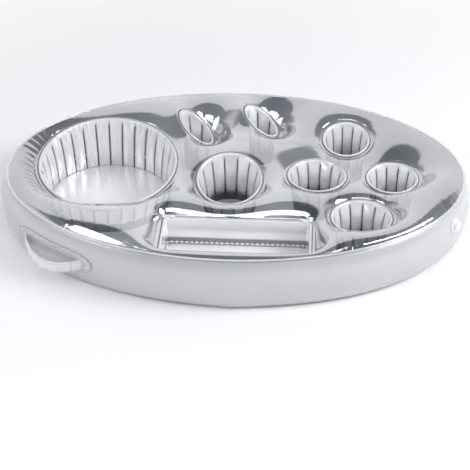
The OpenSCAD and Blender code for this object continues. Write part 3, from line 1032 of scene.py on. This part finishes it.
    def folds(self, plan: Array, owner: Array) -> Array:
        """Small gathers round each rim and along the seam.

        Args:
            plan: Points in plan.
            owner: The number of the hole that each belongs to.

        Returns:
            What they add to the heights.
        """
        phi = np.arctan2(plan[:, 1] / SEAM_B, plan[:, 0] / SEAM_A)
        out = self.seam_folds.at(self.from_seam(plan)) * wave(phi, (101, 137, 171), 9)
        for number, hole in enumerate(HOLES):
            mine = owner == number
            d = np.clip(self.from_rim(hole, plan[mine]), 0, None)
            x, y = plan[mine].T
            turn = np.arctan2(y - hole.y, x - hole.x)
            if hole is TRAY:
                along = wave(x / self.tray_fold_length, (1.0, 1.31, 1.9), 40)
                out[mine] += self.tray_folds.at(d) * along
            elif hole is BOWL:
                out[mine] += hole.fine * self.bowl_folds.at(d) * self.valleys(turn)
            else:
                counts = (hole.fine_count, hole.fine_count - 7, hole.fine_count + 9)
                out[mine] += hole.fine * self.well_folds.at(d) * wave(turn, counts, 20 + number)
        return out

    def valleys(self, turn: Array) -> Array:
        """Depths of the bowl's radial folds.

        Args:
            turn: Angles round the bowl.

        Returns:
            Depths up to 1: narrow, uneven, and shallow on the flat side.
        """
        side = self.bowl_side.at(-np.cos(turn - math.radians(self.bowl_flat_at)))
        uneven = 1 - self.bowl_uneven + self.bowl_uneven * wave(turn, (5, 11, 17), 20)
        sway = self.bowl_sway * np.sin(3 * turn)
        ridges = np.abs(np.sin(turn * BOWL.fine_count / 2 + sway)) ** self.valley_power
        return (self.bowl_flat + (1 - self.bowl_flat) * side) * uneven * (1 - ridges)

    def swells(self, plan: Array) -> Array:
        """Broad rises inside the seam and round the rims, and dips between wells.

        Args:
            plan: Points in plan.

        Returns:
            What they add to the heights.
        """
        x, y = plan.T
        inside = self.from_seam(plan)
        off = np.array([self.from_rim(hole, plan) for hole in HOLES])
        by_rim = grown(np.clip(off[:-1], 0, None).min(0), self.rim_start)
        clear = by_rim * grown(inside, self.seam_start)
        front = self.crown_behind + (1 - self.crown_behind) * self.crown_front.at(-y)
        right = self.shoulder_right.at(x) * self.shoulder_front.at(-y)
        out = front * self.crown.at(inside) + right * by_rim * self.shoulder.at(inside)
        out += clear * self.tray_rise.at(np.clip(off[-1] - self.tray_clear, 0, None))
        level = np.ones(len(plan))
        for number, hole in enumerate(HOLES[:-1]):
            turn = np.arctan2(y - hole.y, x - hole.x)
            share = hole.lift
            if hole.lift_at is not None:
                behind = on_side(turn, hole.lift_at) ** 2
                share = self.rim_far_side + (1 - self.rim_far_side) * behind
            d = np.clip(off[number], 0, None)
            level *= 1 - share * np.exp(-d / self.rim_fade)
            others = np.clip(np.delete(off, number, 0).min(0), 0, None)
            alone = grown(others, self.others_start) * grown(inside, self.seam_start)
            out -= hole.ease * on_side(turn, hole.ease_at) * self.dip.at(d) * alone
        return out + self.rim_rise * clear * (1 - level)


@dataclass
class SeamWeld:
    """The crimped weld along the top of the two lips."""

    around: int = 900
    height: float = 0.9
    crimps: int = 450
    crimp: float = 0.12
    crimped_from: float = 0.3
    profile: Stops = ((0.1, 0.0), (0.5, 0.75), (1.1, 1.0), (1.6, 0.35), (2.1, 0.35), (2.6, 1.0),
                      (3.1, 0.75), (3.5, 0.0), (1.8, -0.1))

    def build(self) -> None:
        """Makes the bead."""
        phi = turns(self.around)
        crimp = self.crimp * np.sin(phi * self.crimps)
        rows = []
        for off, high in self.profile:
            z = SEAM_H + SHEET + self.height * high + (high > self.crimped_from) * crimp
            rows.append(oval(off, phi, z))
        piece("seam_weld", looped(rows), Finish.WELD, {"weld": 0.0})


# Wells


@dataclass
class PleatedWell:
    """A pleated tube with its rim flange, welded to a disc on the bottom.

    Depths run from 0 at the rim to 1 at the floor. The painted-shade mask
    darkens the pleats' seams, the deep end, the outside and, on the bowl, what is
    below the weld at its foot: painted shade in creases, depths and under the weld.
    """

    well: Well
    node: str
    flange: float = 5.0
    samples: int = 16
    rows: int = 30
    first: float = 0.015
    packing: float = 1.05
    sharp: float = 0.55
    sag_power: float = 0.9
    rim_puckers: Hump = Hump(0.35, 0.1, 0.1)
    foot_puckers: Hump = Hump(0.4, 0.9, 0.07)
    # Painted shade across each pleat's crease, and the depth that it grows in from
    painted_shade: Hump = Hump(1.25, 0.0, 0.06)
    pleat_shade_depth: Change = Change(0.02, 0.1)
    # Painted shade towards the floor, on the outside of the wall and below the bowl's foot weld
    deep_shade: float = 1.3
    deep_shade_power: float = 2.4
    deep: Change = Change(0.3, 0.68)
    shade: float = 0.72
    shaded: Change = Change(-0.05, 0.55)
    foot_at: float = 0.0
    foot_dark: float = 0.55
    foot_over: float = 0.04
    foot_gap: float = 0.4
    foot_size: float = 0.9
    foot_knot: float = 1.8
    foot_uneven: float = 0.3
    scallops: int = 96
    scallop_out: float = 2.2
    scallop_up: float = 2.4
    bead_points: float = 3.0
    bead_least: int = 96
    bead_waves: int = 24
    bead_wave: float = 0.15

    def ring(self, t: float, inward: float) -> Array:
        """One row of the wall.

        Args:
            t: Its depth.
            inward: How far it is moved in.

        Returns:
            Points.
        """
        w, phi = self.well, turns(self.well.pleats * self.samples)
        petal = np.abs(np.sin(math.pi * self.in_pleat(phi))) ** self.sharp
        puckers = wave(phi, (w.fine_count, w.fine_count + 5), 60 + w.pleats)
        sag = w.swell * math.sin(math.pi * t**self.sag_power)
        fine = w.fine * self.rim_puckers.at(t) + self.foot_puckers.at(t)
        radius = w.radius * (1 - w.taper * t) - sag * petal - fine * puckers - inward
        points = w.row(radius, phi, SHEET)
        points[:, 2] += (FLOOR_Z - points[:, 2]) * t
        return points

    def in_pleat(self, phi: Array) -> Array:
        """Where an angle lies in its pleat, from one seam at 0 to the next at 1."""
        return (phi - math.radians(self.well.phase)) * self.well.pleats / (2 * math.pi) % 1.0

    def build(self) -> None:
        """Makes the wall, its rim weld and the bowl's foot weld."""
        w, phi = self.well, turns(self.well.pleats * self.samples)
        depths = np.append(0.0, np.linspace(self.first, 1.0, self.rows) ** self.packing)
        inner = [self.ring(t, WALL) for t in depths]
        inner[0][:, 2] += WALL
        low, high = (w.row(w.radius + self.flange, phi, SHEET + up) for up in (0.0, WALL))
        rows = [low, *[self.ring(t, 0.0) for t in depths], *inner[::-1], high]
        depth = np.array([-0.1, *depths, *depths[::-1], -0.1])
        outside = np.arange(len(depth)) <= len(depths)
        place = self.in_pleat(phi)
        # Painted shade: darker towards the floor, on the outside of the wall, and on the bowl below
        # its foot weld
        dark = self.deep_shade * self.deep.at(depth) ** self.deep_shade_power
        dark += self.shade * self.shaded.at(depth) * outside
        if self.foot_at:
            dark += self.foot_dark * Change(self.foot_at, self.foot_over).at(depth) * outside
        # Painted shade in the pleats' creases
        seams = self.painted_shade.at(np.minimum(place, 1 - place))
        painted_shade = np.outer(self.pleat_shade_depth.at(depth), seams) + dark[:, None]
        # The flange rows under the rim bead take the full dark tone
        painted_shade[[0, -1]] = 1.0
        piece(f"well_{w.name}_sheet", looped(rows), Finish.WELL,
              {"painted_shade": np.clip(painted_shade, 0, 1)}, self.node)
        self.rim()
        if self.foot_at:
            self.foot()

    def foot(self) -> None:
        """Makes the puckered weld that runs round the outside of the wall."""
        path = self.ring(self.foot_at, -self.foot_gap)
        phi = turns(len(path))
        away = np.stack([np.cos(phi), np.sin(phi), 0 * phi], -1)
        scallop = np.abs(np.sin(phi * self.scallops / 2))
        centre = path + scallop[:, None] * (self.scallop_out * away + self.scallop_up * UP)
        size = self.foot_size + self.foot_knot * (1 - scallop) ** 2
        size += self.foot_uneven * wave(phi, (41, 67), 12)
        piece(f"foot_{self.well.name}_weld", bead(centre, size, away), Finish.WELD,
              {"weld": FOOT_MILK})

    def rim(self) -> None:
        """Makes the milky weld ring that runs on the flange."""
        w = self.well
        phi = turns(max(self.bead_least, int(w.radius * self.bead_points)))
        ripple = self.bead_wave * np.sin(phi * self.bead_waves)
        rows = [w.row(w.radius + off + ripple, phi, 2 * SHEET + high) for off, high in WELL_BEAD]
        piece(f"rim_{w.name}_weld", looped(rows), Finish.WELD, {"weld": BEAD_MILK})


@dataclass
class Tray:
    """The rounded rectangular well at the front.

    Depths run from 0 at the rim to 1 at the floor.
    """

    hole: TrayHole = TRAY
    floor_z: float = 20.0
    draft: float = 2.0
    swell: float = 4.0
    flange: float = 5.0
    corner: float = 7.0
    least_corner: float = 3.0
    rows: int = 24
    arc: int = 10
    long_n: int = 46
    short_n: int = 14
    closing: float = 5.0
    first: float = 0.02
    sag_power: float = 0.8
    foot_puckers: Hump = Hump(0.25, 0.86, 0.07)
    rim_puckers: Hump = Hump(0.3, 0.08, 0.06)
    # Painted shade on the lower wall, paler at the floor
    deep_shade: float = 0.75
    deep: Change = Change(0.64, 0.06)
    paler: float = 0.5
    at_floor: Change = Change(0.9, 0.1)
    foot_at: float = 0.87
    foot_gap: float = 2.0
    pitch: float = 9.3
    per_knot: int = 8
    thread: float = 0.35
    knot: float = 2.6
    flat_knot: float = 0.8
    fold_in: float = 7.0
    fold_back: float = 1.5
    fold_up: float = 3.6
    fold_length: float = 22.0
    fold_half_wide: float = 4.6
    fold_half_high: float = 3.1
    fold_arch: float = 5.0
    fold_wave: float = 1.4
    fold_rows: int = 22
    fold_count: int = 26

    def outline(self, side: float, long: float) -> Array:
        """Points round the tray.

        Args:
            side: Offset of the short walls from the rim.
            long: Offset of the long walls.

        Returns:
            Points in plan.
        """
        h = self.hole
        r = max(self.least_corner, self.corner + max(side, long))
        half = np.array([h.length / 2 + side - r, h.width / 2 + long - r])
        centres = np.array([(1, 1), (-1, 1), (-1, -1), (1, -1)]) * half
        parts = []
        for q, centre in enumerate(centres):
            turn = math.pi / 2 * (q + np.linspace(0, 1, self.arc, endpoint=False))
            parts.append(centre + r * np.stack([np.cos(turn), np.sin(turn)], -1))
            count = self.short_n if q % 2 else self.long_n
            share = np.linspace(0, 1, count, endpoint=False)[:, None]
            end = math.pi / 2 * (q + 1)
            out = r * np.array([math.cos(end), math.sin(end)])
            parts.append(centre * (1 - share) + centres[(q + 1) % 4] * share + out)
        return np.vstack(parts) + [h.x, h.y]

    def level(self, side: float, z: float) -> Array:
        """A level row at an offset from the rim."""
        plan = self.outline(side, side)
        return np.column_stack([plan, np.full(len(plan), z)])

    def turn(self) -> Array:
        """Says how far round the rim each point lies.

        Returns:
            Angles in radians.
        """
        far = np.linalg.norm(np.diff(self.outline(0.0, 0.0), axis=0), axis=1)
        along = np.concatenate([[0], np.cumsum(far)])
        return along / (along[-1] + self.closing) * 2 * math.pi

    def ring(self, t: float, inward: float = 0.0) -> Array:
        """One row of the wall.

        Args:
            t: Its depth.
            inward: How far it is moved in.

        Returns:
            Points.
        """
        top = self.hole.rim + SHEET
        side = -self.draft * t - inward
        plan = self.outline(side, side - self.swell * math.sin(math.pi * t) ** self.sag_power)
        away = plan - plan.mean(0)
        away /= np.linalg.norm(away, axis=1)[:, None]
        fine = self.foot_puckers.at(t) + self.rim_puckers.at(t)
        plan = plan - away * (fine * (1 + wave(self.turn(), (88, 121), 71)))[:, None]
        return np.column_stack([plan, np.full(len(plan), top + (self.floor_z - top) * t)])

    def build(self) -> None:
        """Makes the wall, its rim weld, the knotted weld at its foot and its folds."""
        top = self.hole.rim + SHEET
        depths = np.append(0.0, np.linspace(self.first, 1.0, self.rows))
        rows = [self.level(self.flange, top), *[self.ring(t) for t in depths]]
        rows += [self.ring(t, WALL) for t in depths[:0:-1]]
        rows += [self.level(-WALL, top + WALL), self.level(self.flange, top + WALL)]
        depth = np.array([0, *depths, *depths[:0:-1], 0, 0])
        # Painted shade: the lower wall is darkened, less so at the floor; the flange rows under the
        # rim bead take the full dark tone
        deep_shade = self.deep_shade * self.deep.at(depth) * (1 - self.paler * self.at_floor.at(depth))
        deep_shade[[0, -1]] = 1.0
        piece("tray_sheet", looped(rows), Finish.WELL,
              {"painted_shade": np.repeat(deep_shade, len(rows[0]))}, "tray_wall")
        rim = [self.level(off, top + SHEET + high) for off, high in TRAY_BEAD]
        piece("tray_rim_weld", looped(rim), Finish.WELD, {"weld": BEAD_MILK})
        self.foot()
        for sign, name in ((-1, "left"), (1, "right")):
            self.fold(sign, name)

    def foot(self) -> None:
        """Makes the row of weld knots that runs round the foot of the wall."""
        rim = self.outline(0.0, 0.0)
        length = float(np.sum(np.linalg.norm(np.diff(rim, axis=0), axis=1)))
        parts = int(length / self.pitch) * self.per_knot
        path = self.ring(self.foot_at, self.foot_gap)
        path = np.vstack([path, path[:1]])
        along = np.concatenate([[0.0], np.cumsum(np.linalg.norm(np.diff(path, axis=0), axis=1))])
        places = np.linspace(0, along[-1], parts, endpoint=False)
        centre = np.stack([np.interp(places, along, values) for values in path.T], -1)
        ahead = np.roll(centre, -1, axis=0) - np.roll(centre, 1, axis=0)
        ahead /= np.linalg.norm(ahead, axis=1)[:, None]
        inside = np.stack([-ahead[:, 1], ahead[:, 0], np.zeros(parts)], -1)
        beat = 0.5 + 0.5 * np.cos(np.arange(parts) * 2 * math.pi / self.per_knot)
        uneven = np.random.default_rng(7).uniform(0.6, 1.1, parts)
        size = self.thread + self.knot * beat**2 * uneven
        piece("tray_foot_weld", bead(centre, size, inside, self.flat_knot), Finish.WELD,
              {"weld": FOOT_MILK})

    def fold(self, sign: int, name: str) -> None:
        """Makes the pinched fold of film at a back corner.

        Args:
            sign: Which end of the tray.
            name: Its end in words.
        """
        h = self.hole
        middle = np.array([h.x + sign * (h.length / 2 - self.fold_in),
                           h.y + h.width / 2 + self.fold_back, h.rim + self.fold_up])
        t = turns(self.fold_count)
        rings = []
        for s in np.linspace(0.0, 1.0, self.fold_rows):
            bulk = math.sin(math.pi * min(0.98, max(0.02, s))) ** 0.6
            lobes = bulk * (1 + 0.22 * np.sin(3 * t + 5 * s) + 0.1 * np.sin(7 * t - 9 * s))
            x = sign * self.fold_length * (s - 0.5) + 0.8 * np.sin(2 * t + 6 * s)
            y = self.fold_half_wide * lobes * np.cos(t) - self.fold_arch * (s - 0.5) ** 2
            z = self.fold_half_high * lobes * np.sin(t) + self.fold_wave * math.sin(9 * s)
            rings.append(np.stack([x, y, z], -1) + middle)
        piece(f"tray_fold_{name}", capped(np.array(rings)), Finish.WELD, {"weld": 0.5})


# Mouldings


def band_frame(angle: float, z: float) -> tuple[Array, Array, Array, Array]:
    """A place on the band with its outward, sideways and upward directions.

    Args:
        angle: Angle round the oval, in degrees.
        z: Height.

    Returns:
        The point and three unit vectors.
    """
    off = SideBand().offset(z)
    a, b, phi = SEAM_A + off, SEAM_B + off, math.radians(angle)
    point = np.array([a * math.cos(phi), b * math.sin(phi), z])
    turn = math.atan2(math.sin(phi) / b, math.cos(phi) / a)
    lean = math.atan2((z - SECTION_Z) / SECTION_H**2, (off + TUCK) / SECTION_W**2)
    side = np.array([-math.sin(turn), math.cos(turn), 0.0])
    level = np.array([math.cos(turn), math.sin(turn), 0.0])
    out = level * math.cos(lean) + UP * math.sin(lean)
    return point, out, side, np.cross(out, side)


@dataclass
class Handle:
    """A clear strap grip with an oval base patch on the band.

    Shares run from 0 at one end of the grip to 1 at the other, and from 0 at
    the middle of the patch to 1 at its outline.
    """

    angle: float = 223.5
    length: float = 150.0
    bow: float = 18.0
    bow_power: float = 0.65
    drop: float = 16.0
    drop_power: float = 0.8
    start_out: float = 4.0
    ends_in: float = 20.0
    raised: float = 2.0
    half_thick: float = 2.2
    half_wide: float = 10.0
    thick_power: float = 0.6
    wide_power: float = 0.75
    neck: Hump = Hump(1.0, 0.1, 0.035)
    neck_thick: float = 0.9
    neck_wide: float = 0.5
    groove: float = 0.5
    groove_half: float = 6.5
    grooved: tuple[float, float] = (0.15, 0.85)
    first: float = 0.03
    grip_rows: int = 72
    grip_count: int = 28
    edge_line: Hump = Hump(0.55, 0.62, 0.09)
    neck_line: Hump = Hump(0.7, 0.135, 0.008)
    patch: float = 42.0
    patch_past: float = 15.0
    patch_count: int = 96
    patch_rows: Stops = ((0.05, 1.7), (0.5, 1.7), (0.78, 1.7), (0.83, 1.0), (0.88, 1.0),
                         (0.92, 2.1), (0.96, 2.1), (0.99, 1.4), (1.0, 0.2), (0.96, -0.4),
                         (0.5, -0.4), (0.05, -0.4))
    patch_power: float = 0.3
    patch_weld: Hump = Hump(0.8, 0.94, 0.05)
    rim_line: tuple[float, float, float] = (0.8, 0.99, 0.015)
    step_line: tuple[float, float, float] = (0.45, 0.83, 0.01)

    def bend(self, y: float, z: float) -> float:
        """How far the band stands out from the tangent plane.

        Args:
            y: Offset along the handle.
            z: Offset upwards.

        Returns:
            The distance, negative where the band falls back behind the plane.
        """
        origin, out, side, _ = band_frame(self.angle, SECTION_Z)
        off = SideBand().offset(SECTION_Z + z)
        size = np.array([SEAM_A + off, SEAM_B + off])
        return oval_hits((origin + side * y)[:2], out[:2], size)[0]

    def to_world(self, local: Array) -> Array:
        """Takes points from outwards, along and up to the float's frame."""
        origin, out, side, up = band_frame(self.angle, SECTION_Z)
        return origin + local[..., :1] * out + local[..., 1:2] * side + local[..., 2:] * up

    def grip_ring(self, s: float) -> Array:
        """One section of the grip.

        Args:
            s: Share of the way along.

        Returns:
            Points in the handle's frame.
        """
        arch = math.sin(math.pi * s)
        ends_in = self.ends_in * (2 * s - 1) ** 2
        x = self.bow * arch**self.bow_power + self.start_out - ends_in
        z = self.raised - self.drop * arch**self.drop_power
        neck = self.neck.at(min(s, 1 - s))
        t = turns(self.grip_count)
        c, d = np.cos(t), np.sin(t)
        thick = (self.half_thick + self.neck_thick * neck) * squared(c, self.thick_power)
        wide = (self.half_wide + self.neck_wide * neck) * squared(d, self.wide_power)
        low, high = self.grooved
        groove = self.groove * (np.abs(wide) < self.groove_half) * (c > 0) * (low < s < high)
        along = np.full_like(t, self.length * (s - 0.5))
        return np.stack([x + thick - groove, along, z + wide], -1)

    def patch_row(self, share: float, high: float) -> Array:
        """One outline of the patch.

        Args:
            share: Share of the outline.
            high: Height over the band.

        Returns:
            Points in the handle's frame.
        """
        hl, hw = self.length / 2 + self.patch_past, self.patch / 2
        t = turns(self.patch_count)
        c = np.cos(t)
        y = share * ((hl - hw) * squared(c, self.patch_power) + hw * c)
        z = share * hw * np.sin(t)
        x = [high + self.bend(float(a), float(b)) for a, b in zip(y, z)]
        return np.stack([x, y, z], -1)

    def build(self) -> None:
        """Makes the grip and its patch, with lines where they are moulded."""
        ends = [0.0, 0.0]
        shares = np.linspace(self.first, 1 - self.first, self.grip_rows)
        rings = np.array([self.grip_ring(float(s)) for s in shares])
        edge = self.edge_line.at(np.abs(np.sin(turns(self.grip_count))))
        neck = self.neck_line.at(np.minimum(shares, 1 - shares))
        line = np.append(np.maximum.outer(neck, edge), ends)
        piece("handle_grip", capped(self.to_world(rings)), Finish.MOULDED,
              {"weld": 0.4, "line": line}, "handle")
        rings = np.array([self.patch_row(*row) for row in self.patch_rows])
        share = np.repeat([row[0] for row in self.patch_rows], self.patch_count)
        line = sum(dark * (np.abs(share - at) < half)
                   for dark, at, half in (self.rim_line, self.step_line))
        masks = {"weld": np.append(self.patch_weld.at(share), ends), "line": np.append(line, ends)}
        piece("handle_patch", capped(self.to_world(rings)), Finish.PATCH, masks)


@dataclass
class Valve:
    """The clear inflation valve: a flange with its stem, and a push-in plug.

    A profile gives radius and height over the band, from the inner end out.
    """

    angle: float = 337.5
    z: float = 71.0
    radius: float = 8.0
    count: int = 64

    def turned(self, profile: Sequence[tuple[float, float]]) -> Shape:
        """A revolved shape on the valve's axis.

        Args:
            profile: Radius and height over the band.

        Returns:
            Vertices and faces.
        """
        origin, out, side, up = band_frame(self.angle, self.z)
        t = turns(self.count)[:, None]
        circle = np.cos(t) * side + np.sin(t) * up
        return capped(np.array([origin + out * h + r * circle for r, h in profile]))

    def build(self) -> None:
        """Makes the valve."""
        r = self.radius
        body = ((1.0, -2.6), (r + 6.0, -2.6), (r + 6.0, 0.2), (r + 5.4, 1.2), (r + 4.2, 1.5),
                (r + 3.2, 0.9), (r + 1.9, 1.0), (r + 1.5, 1.6), (r + 0.4, 4.8), (r - 0.2, 5.6),
                (r - 1.6, 5.8), (r - 2.3, 5.3), (r - 2.5, 4.6), (1.0, 4.4))
        plug = ((0.8, 4.9), (r - 2.6, 5.0), (r - 0.2, 6.0), (r + 0.5, 6.3), (r + 0.5, 7.4),
                (r, 7.8), (4.2, 7.9), (3.2, 8.3), (2.8, 9.4), (2.2, 9.7), (0.4, 9.7))
        piece("valve_flange", self.turned(body), Finish.MOULDED, {"weld": 0.25}, "valve_body")
        piece("valve_cap", self.turned(plug), Finish.MOULDED, {"weld": 0.5}, "valve_plug")


# Studio


@dataclass(frozen=True)
class Lamp:
    """A soft rectangular lamp that faces the float."""

    name: str
    place: tuple[float, float, float]
    size: tuple[float, float]
    watts: float

    def build(self, aim: tuple[float, float, float]) -> None:
        """Hangs the lamp.

        Args:
            aim: What it faces.
        """
        data = bpy.data.lights.new(self.name, "AREA")
        data.shape = "RECTANGLE"
        data.size, data.size_y = self.size
        data.energy = self.watts
        made = bpy.data.objects.new(self.name, data)
        bpy.context.scene.collection.objects.link(made)
        made.location = self.place
        way = Vector(self.place) - Vector(aim)
        made.rotation_euler = way.to_track_quat("Z", "Y").to_euler()


@dataclass
class Studio:
    """Floor, lamps, surroundings and camera.

    Ramps are places and greys: the horizon by height, the backdrop by depth
    and its left edge by width.
    """

    eye: tuple[float, float, float] = (0.1272, -2.3004, 1.5934)
    pitch: float = 54.6
    yaw: float = 3.16
    focal_px: float = 1500.0
    frame_px: float = 470.0
    sensor: float = 36.0
    floor_size: float = 40.0
    floor_tone: Tone = (0.86, 0.865, 0.875)
    glow: float = 0.08
    near_white: float = 0.55
    all_white: float = 1.25
    horizon: Stops = ((0.0, 1.0), (0.2, 0.85), (0.5, 0.1), (1.0, 0.0))
    backdrop: Stops = ((0.0, 0.0), (0.39, 0.0), (0.5, 0.95), (1.0, 1.0))
    edge: Stops = ((0.0, 0.1), (0.12, 0.1), (0.17, 1.0), (1.0, 1.0))
    lean: float = 0.3
    near_share: float = 0.42
    brightening: float = 1.5
    room: Tone = (0.1, 0.11, 0.14)
    white: Tone = (0.99, 0.99, 1.0)
    aim: tuple[float, float, float] = (0.0, 0.0, 0.05)
    lamps: tuple[Lamp, ...] = (
        Lamp("key", (2.3, -0.4, 1.9), (1.5, 1.1), 58.0),
        Lamp("fill", (-2.1, -1.1, 1.8), (1.4, 1.2), 20.0),
        Lamp("front_strip", (0.1, -1.5, 2.5), (2.6, 1.0), 22.0),
    )

    def camera(self) -> None:
        """Places the camera as it stood for the photograph."""
        data = bpy.data.cameras.new("camera")
        made = bpy.data.objects.new("camera", data)
        bpy.context.scene.collection.objects.link(made)
        data.sensor_width = self.sensor
        data.lens = self.focal_px / self.frame_px * self.sensor
        made.location = self.eye
        made.rotation_euler = (math.radians(self.pitch), 0.0, math.radians(self.yaw))
        bpy.context.scene.camera = made

    def floor(self) -> None:
        """Lays a plain pale floor that takes the shadow and turns white further out."""
        bpy.ops.mesh.primitive_plane_add(size=self.floor_size, location=(0, 0, 0))
        made = bpy.context.object
        made.name = "studio_floor"
        tree = Tree.material("studio_floor")
        seen = sum(tree.node("ShaderNodeLightPath", out=f"Is {ray} Ray")
                   for ray in ("Camera", "Glossy", "Transmission")).clamped()
        away = tree.node("ShaderNodeVectorMath", {"operation": "LENGTH"}, {0: tree.place()},
                         out="Value")
        far = ((away - self.near_white) / (self.all_white - self.near_white)).clamped()
        white = rgba((1.0, 1.0, 1.0))
        plain = tree.node("ShaderNodeBsdfDiffuse", None, {"Color": rgba(self.floor_tone)})
        glow, bright = (tree.node("ShaderNodeEmission", None, {"Color": white, "Strength": power})
                        for power in (seen * self.glow, 1.0))
        near = tree.node("ShaderNodeAddShader", None, {0: plain, 1: glow})
        surface = tree.node("ShaderNodeMixShader", None, {0: far * seen, 1: near, 2: bright})
        made.data.materials.append(tree.finish(surface))

    def surroundings(self) -> None:
        """Makes a white horizon and backdrop in a dim room, alike for every ray."""
        world = bpy.data.worlds.new("studio")
        bpy.context.scene.world = world
        tree = Tree(world)
        way = tree.node("ShaderNodeTexCoord", out="Generated")
        across, along, up = (tree.node("ShaderNodeSeparateXYZ", None, {0: way}, out=axis)
                             for axis in "XYZ")
        further = (along * self.brightening + 0.5).clamped()
        dimmer = self.near_share + (1.0 - self.near_share) * further
        horizon = tree.ramp(self.horizon, up) * dimmer
        backdrop = tree.ramp(self.backdrop, along - self.lean * across)
        light = horizon.larger(backdrop * tree.ramp(self.edge, across * 0.5 + 0.5))
        colour = tree.mix(light.clamped(), rgba(self.room), rgba(self.white))
        tree.finish(tree.node("ShaderNodeBackground", None, {"Color": colour}))

    def build(self) -> None:
        """Sets the whole stage."""
        self.camera()
        self.floor()
        self.surroundings()
        for lamp in self.lamps:
            lamp.build(self.aim)
        bpy.context.scene.view_settings.view_transform = "Standard"


def main() -> None:
    """Builds every piece and reports it."""
    logging.basicConfig(level=logging.INFO, format="%(message)s")
    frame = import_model()
    parts = [Studio(), SideBand(), TopFilm(), SeamWeld()]
    parts += [PleatedWell(well, f"well_wall_{well.name}") for well in WELLS]
    parts.append(PleatedWell(BOWL, "bowl_wall", samples=20, deep_shade=0.25, shade=0.12, foot_at=0.7))
    parts += [Tray(), Handle(), Valve()]
    for part in parts:
        part.build()
    for name, node in frame["nodes"].items():
        # The tray floor takes the paler copy of the sheet, which is painted light
        if name == "tray_floor":
            dress(node, Finish.TRAY_FLOOR)
        elif name.endswith("_floor") or "_floor_" in name or name == "bottom_sheet":
            dress(node, Finish.SHEET)


if __name__ == "__main__":
    main()
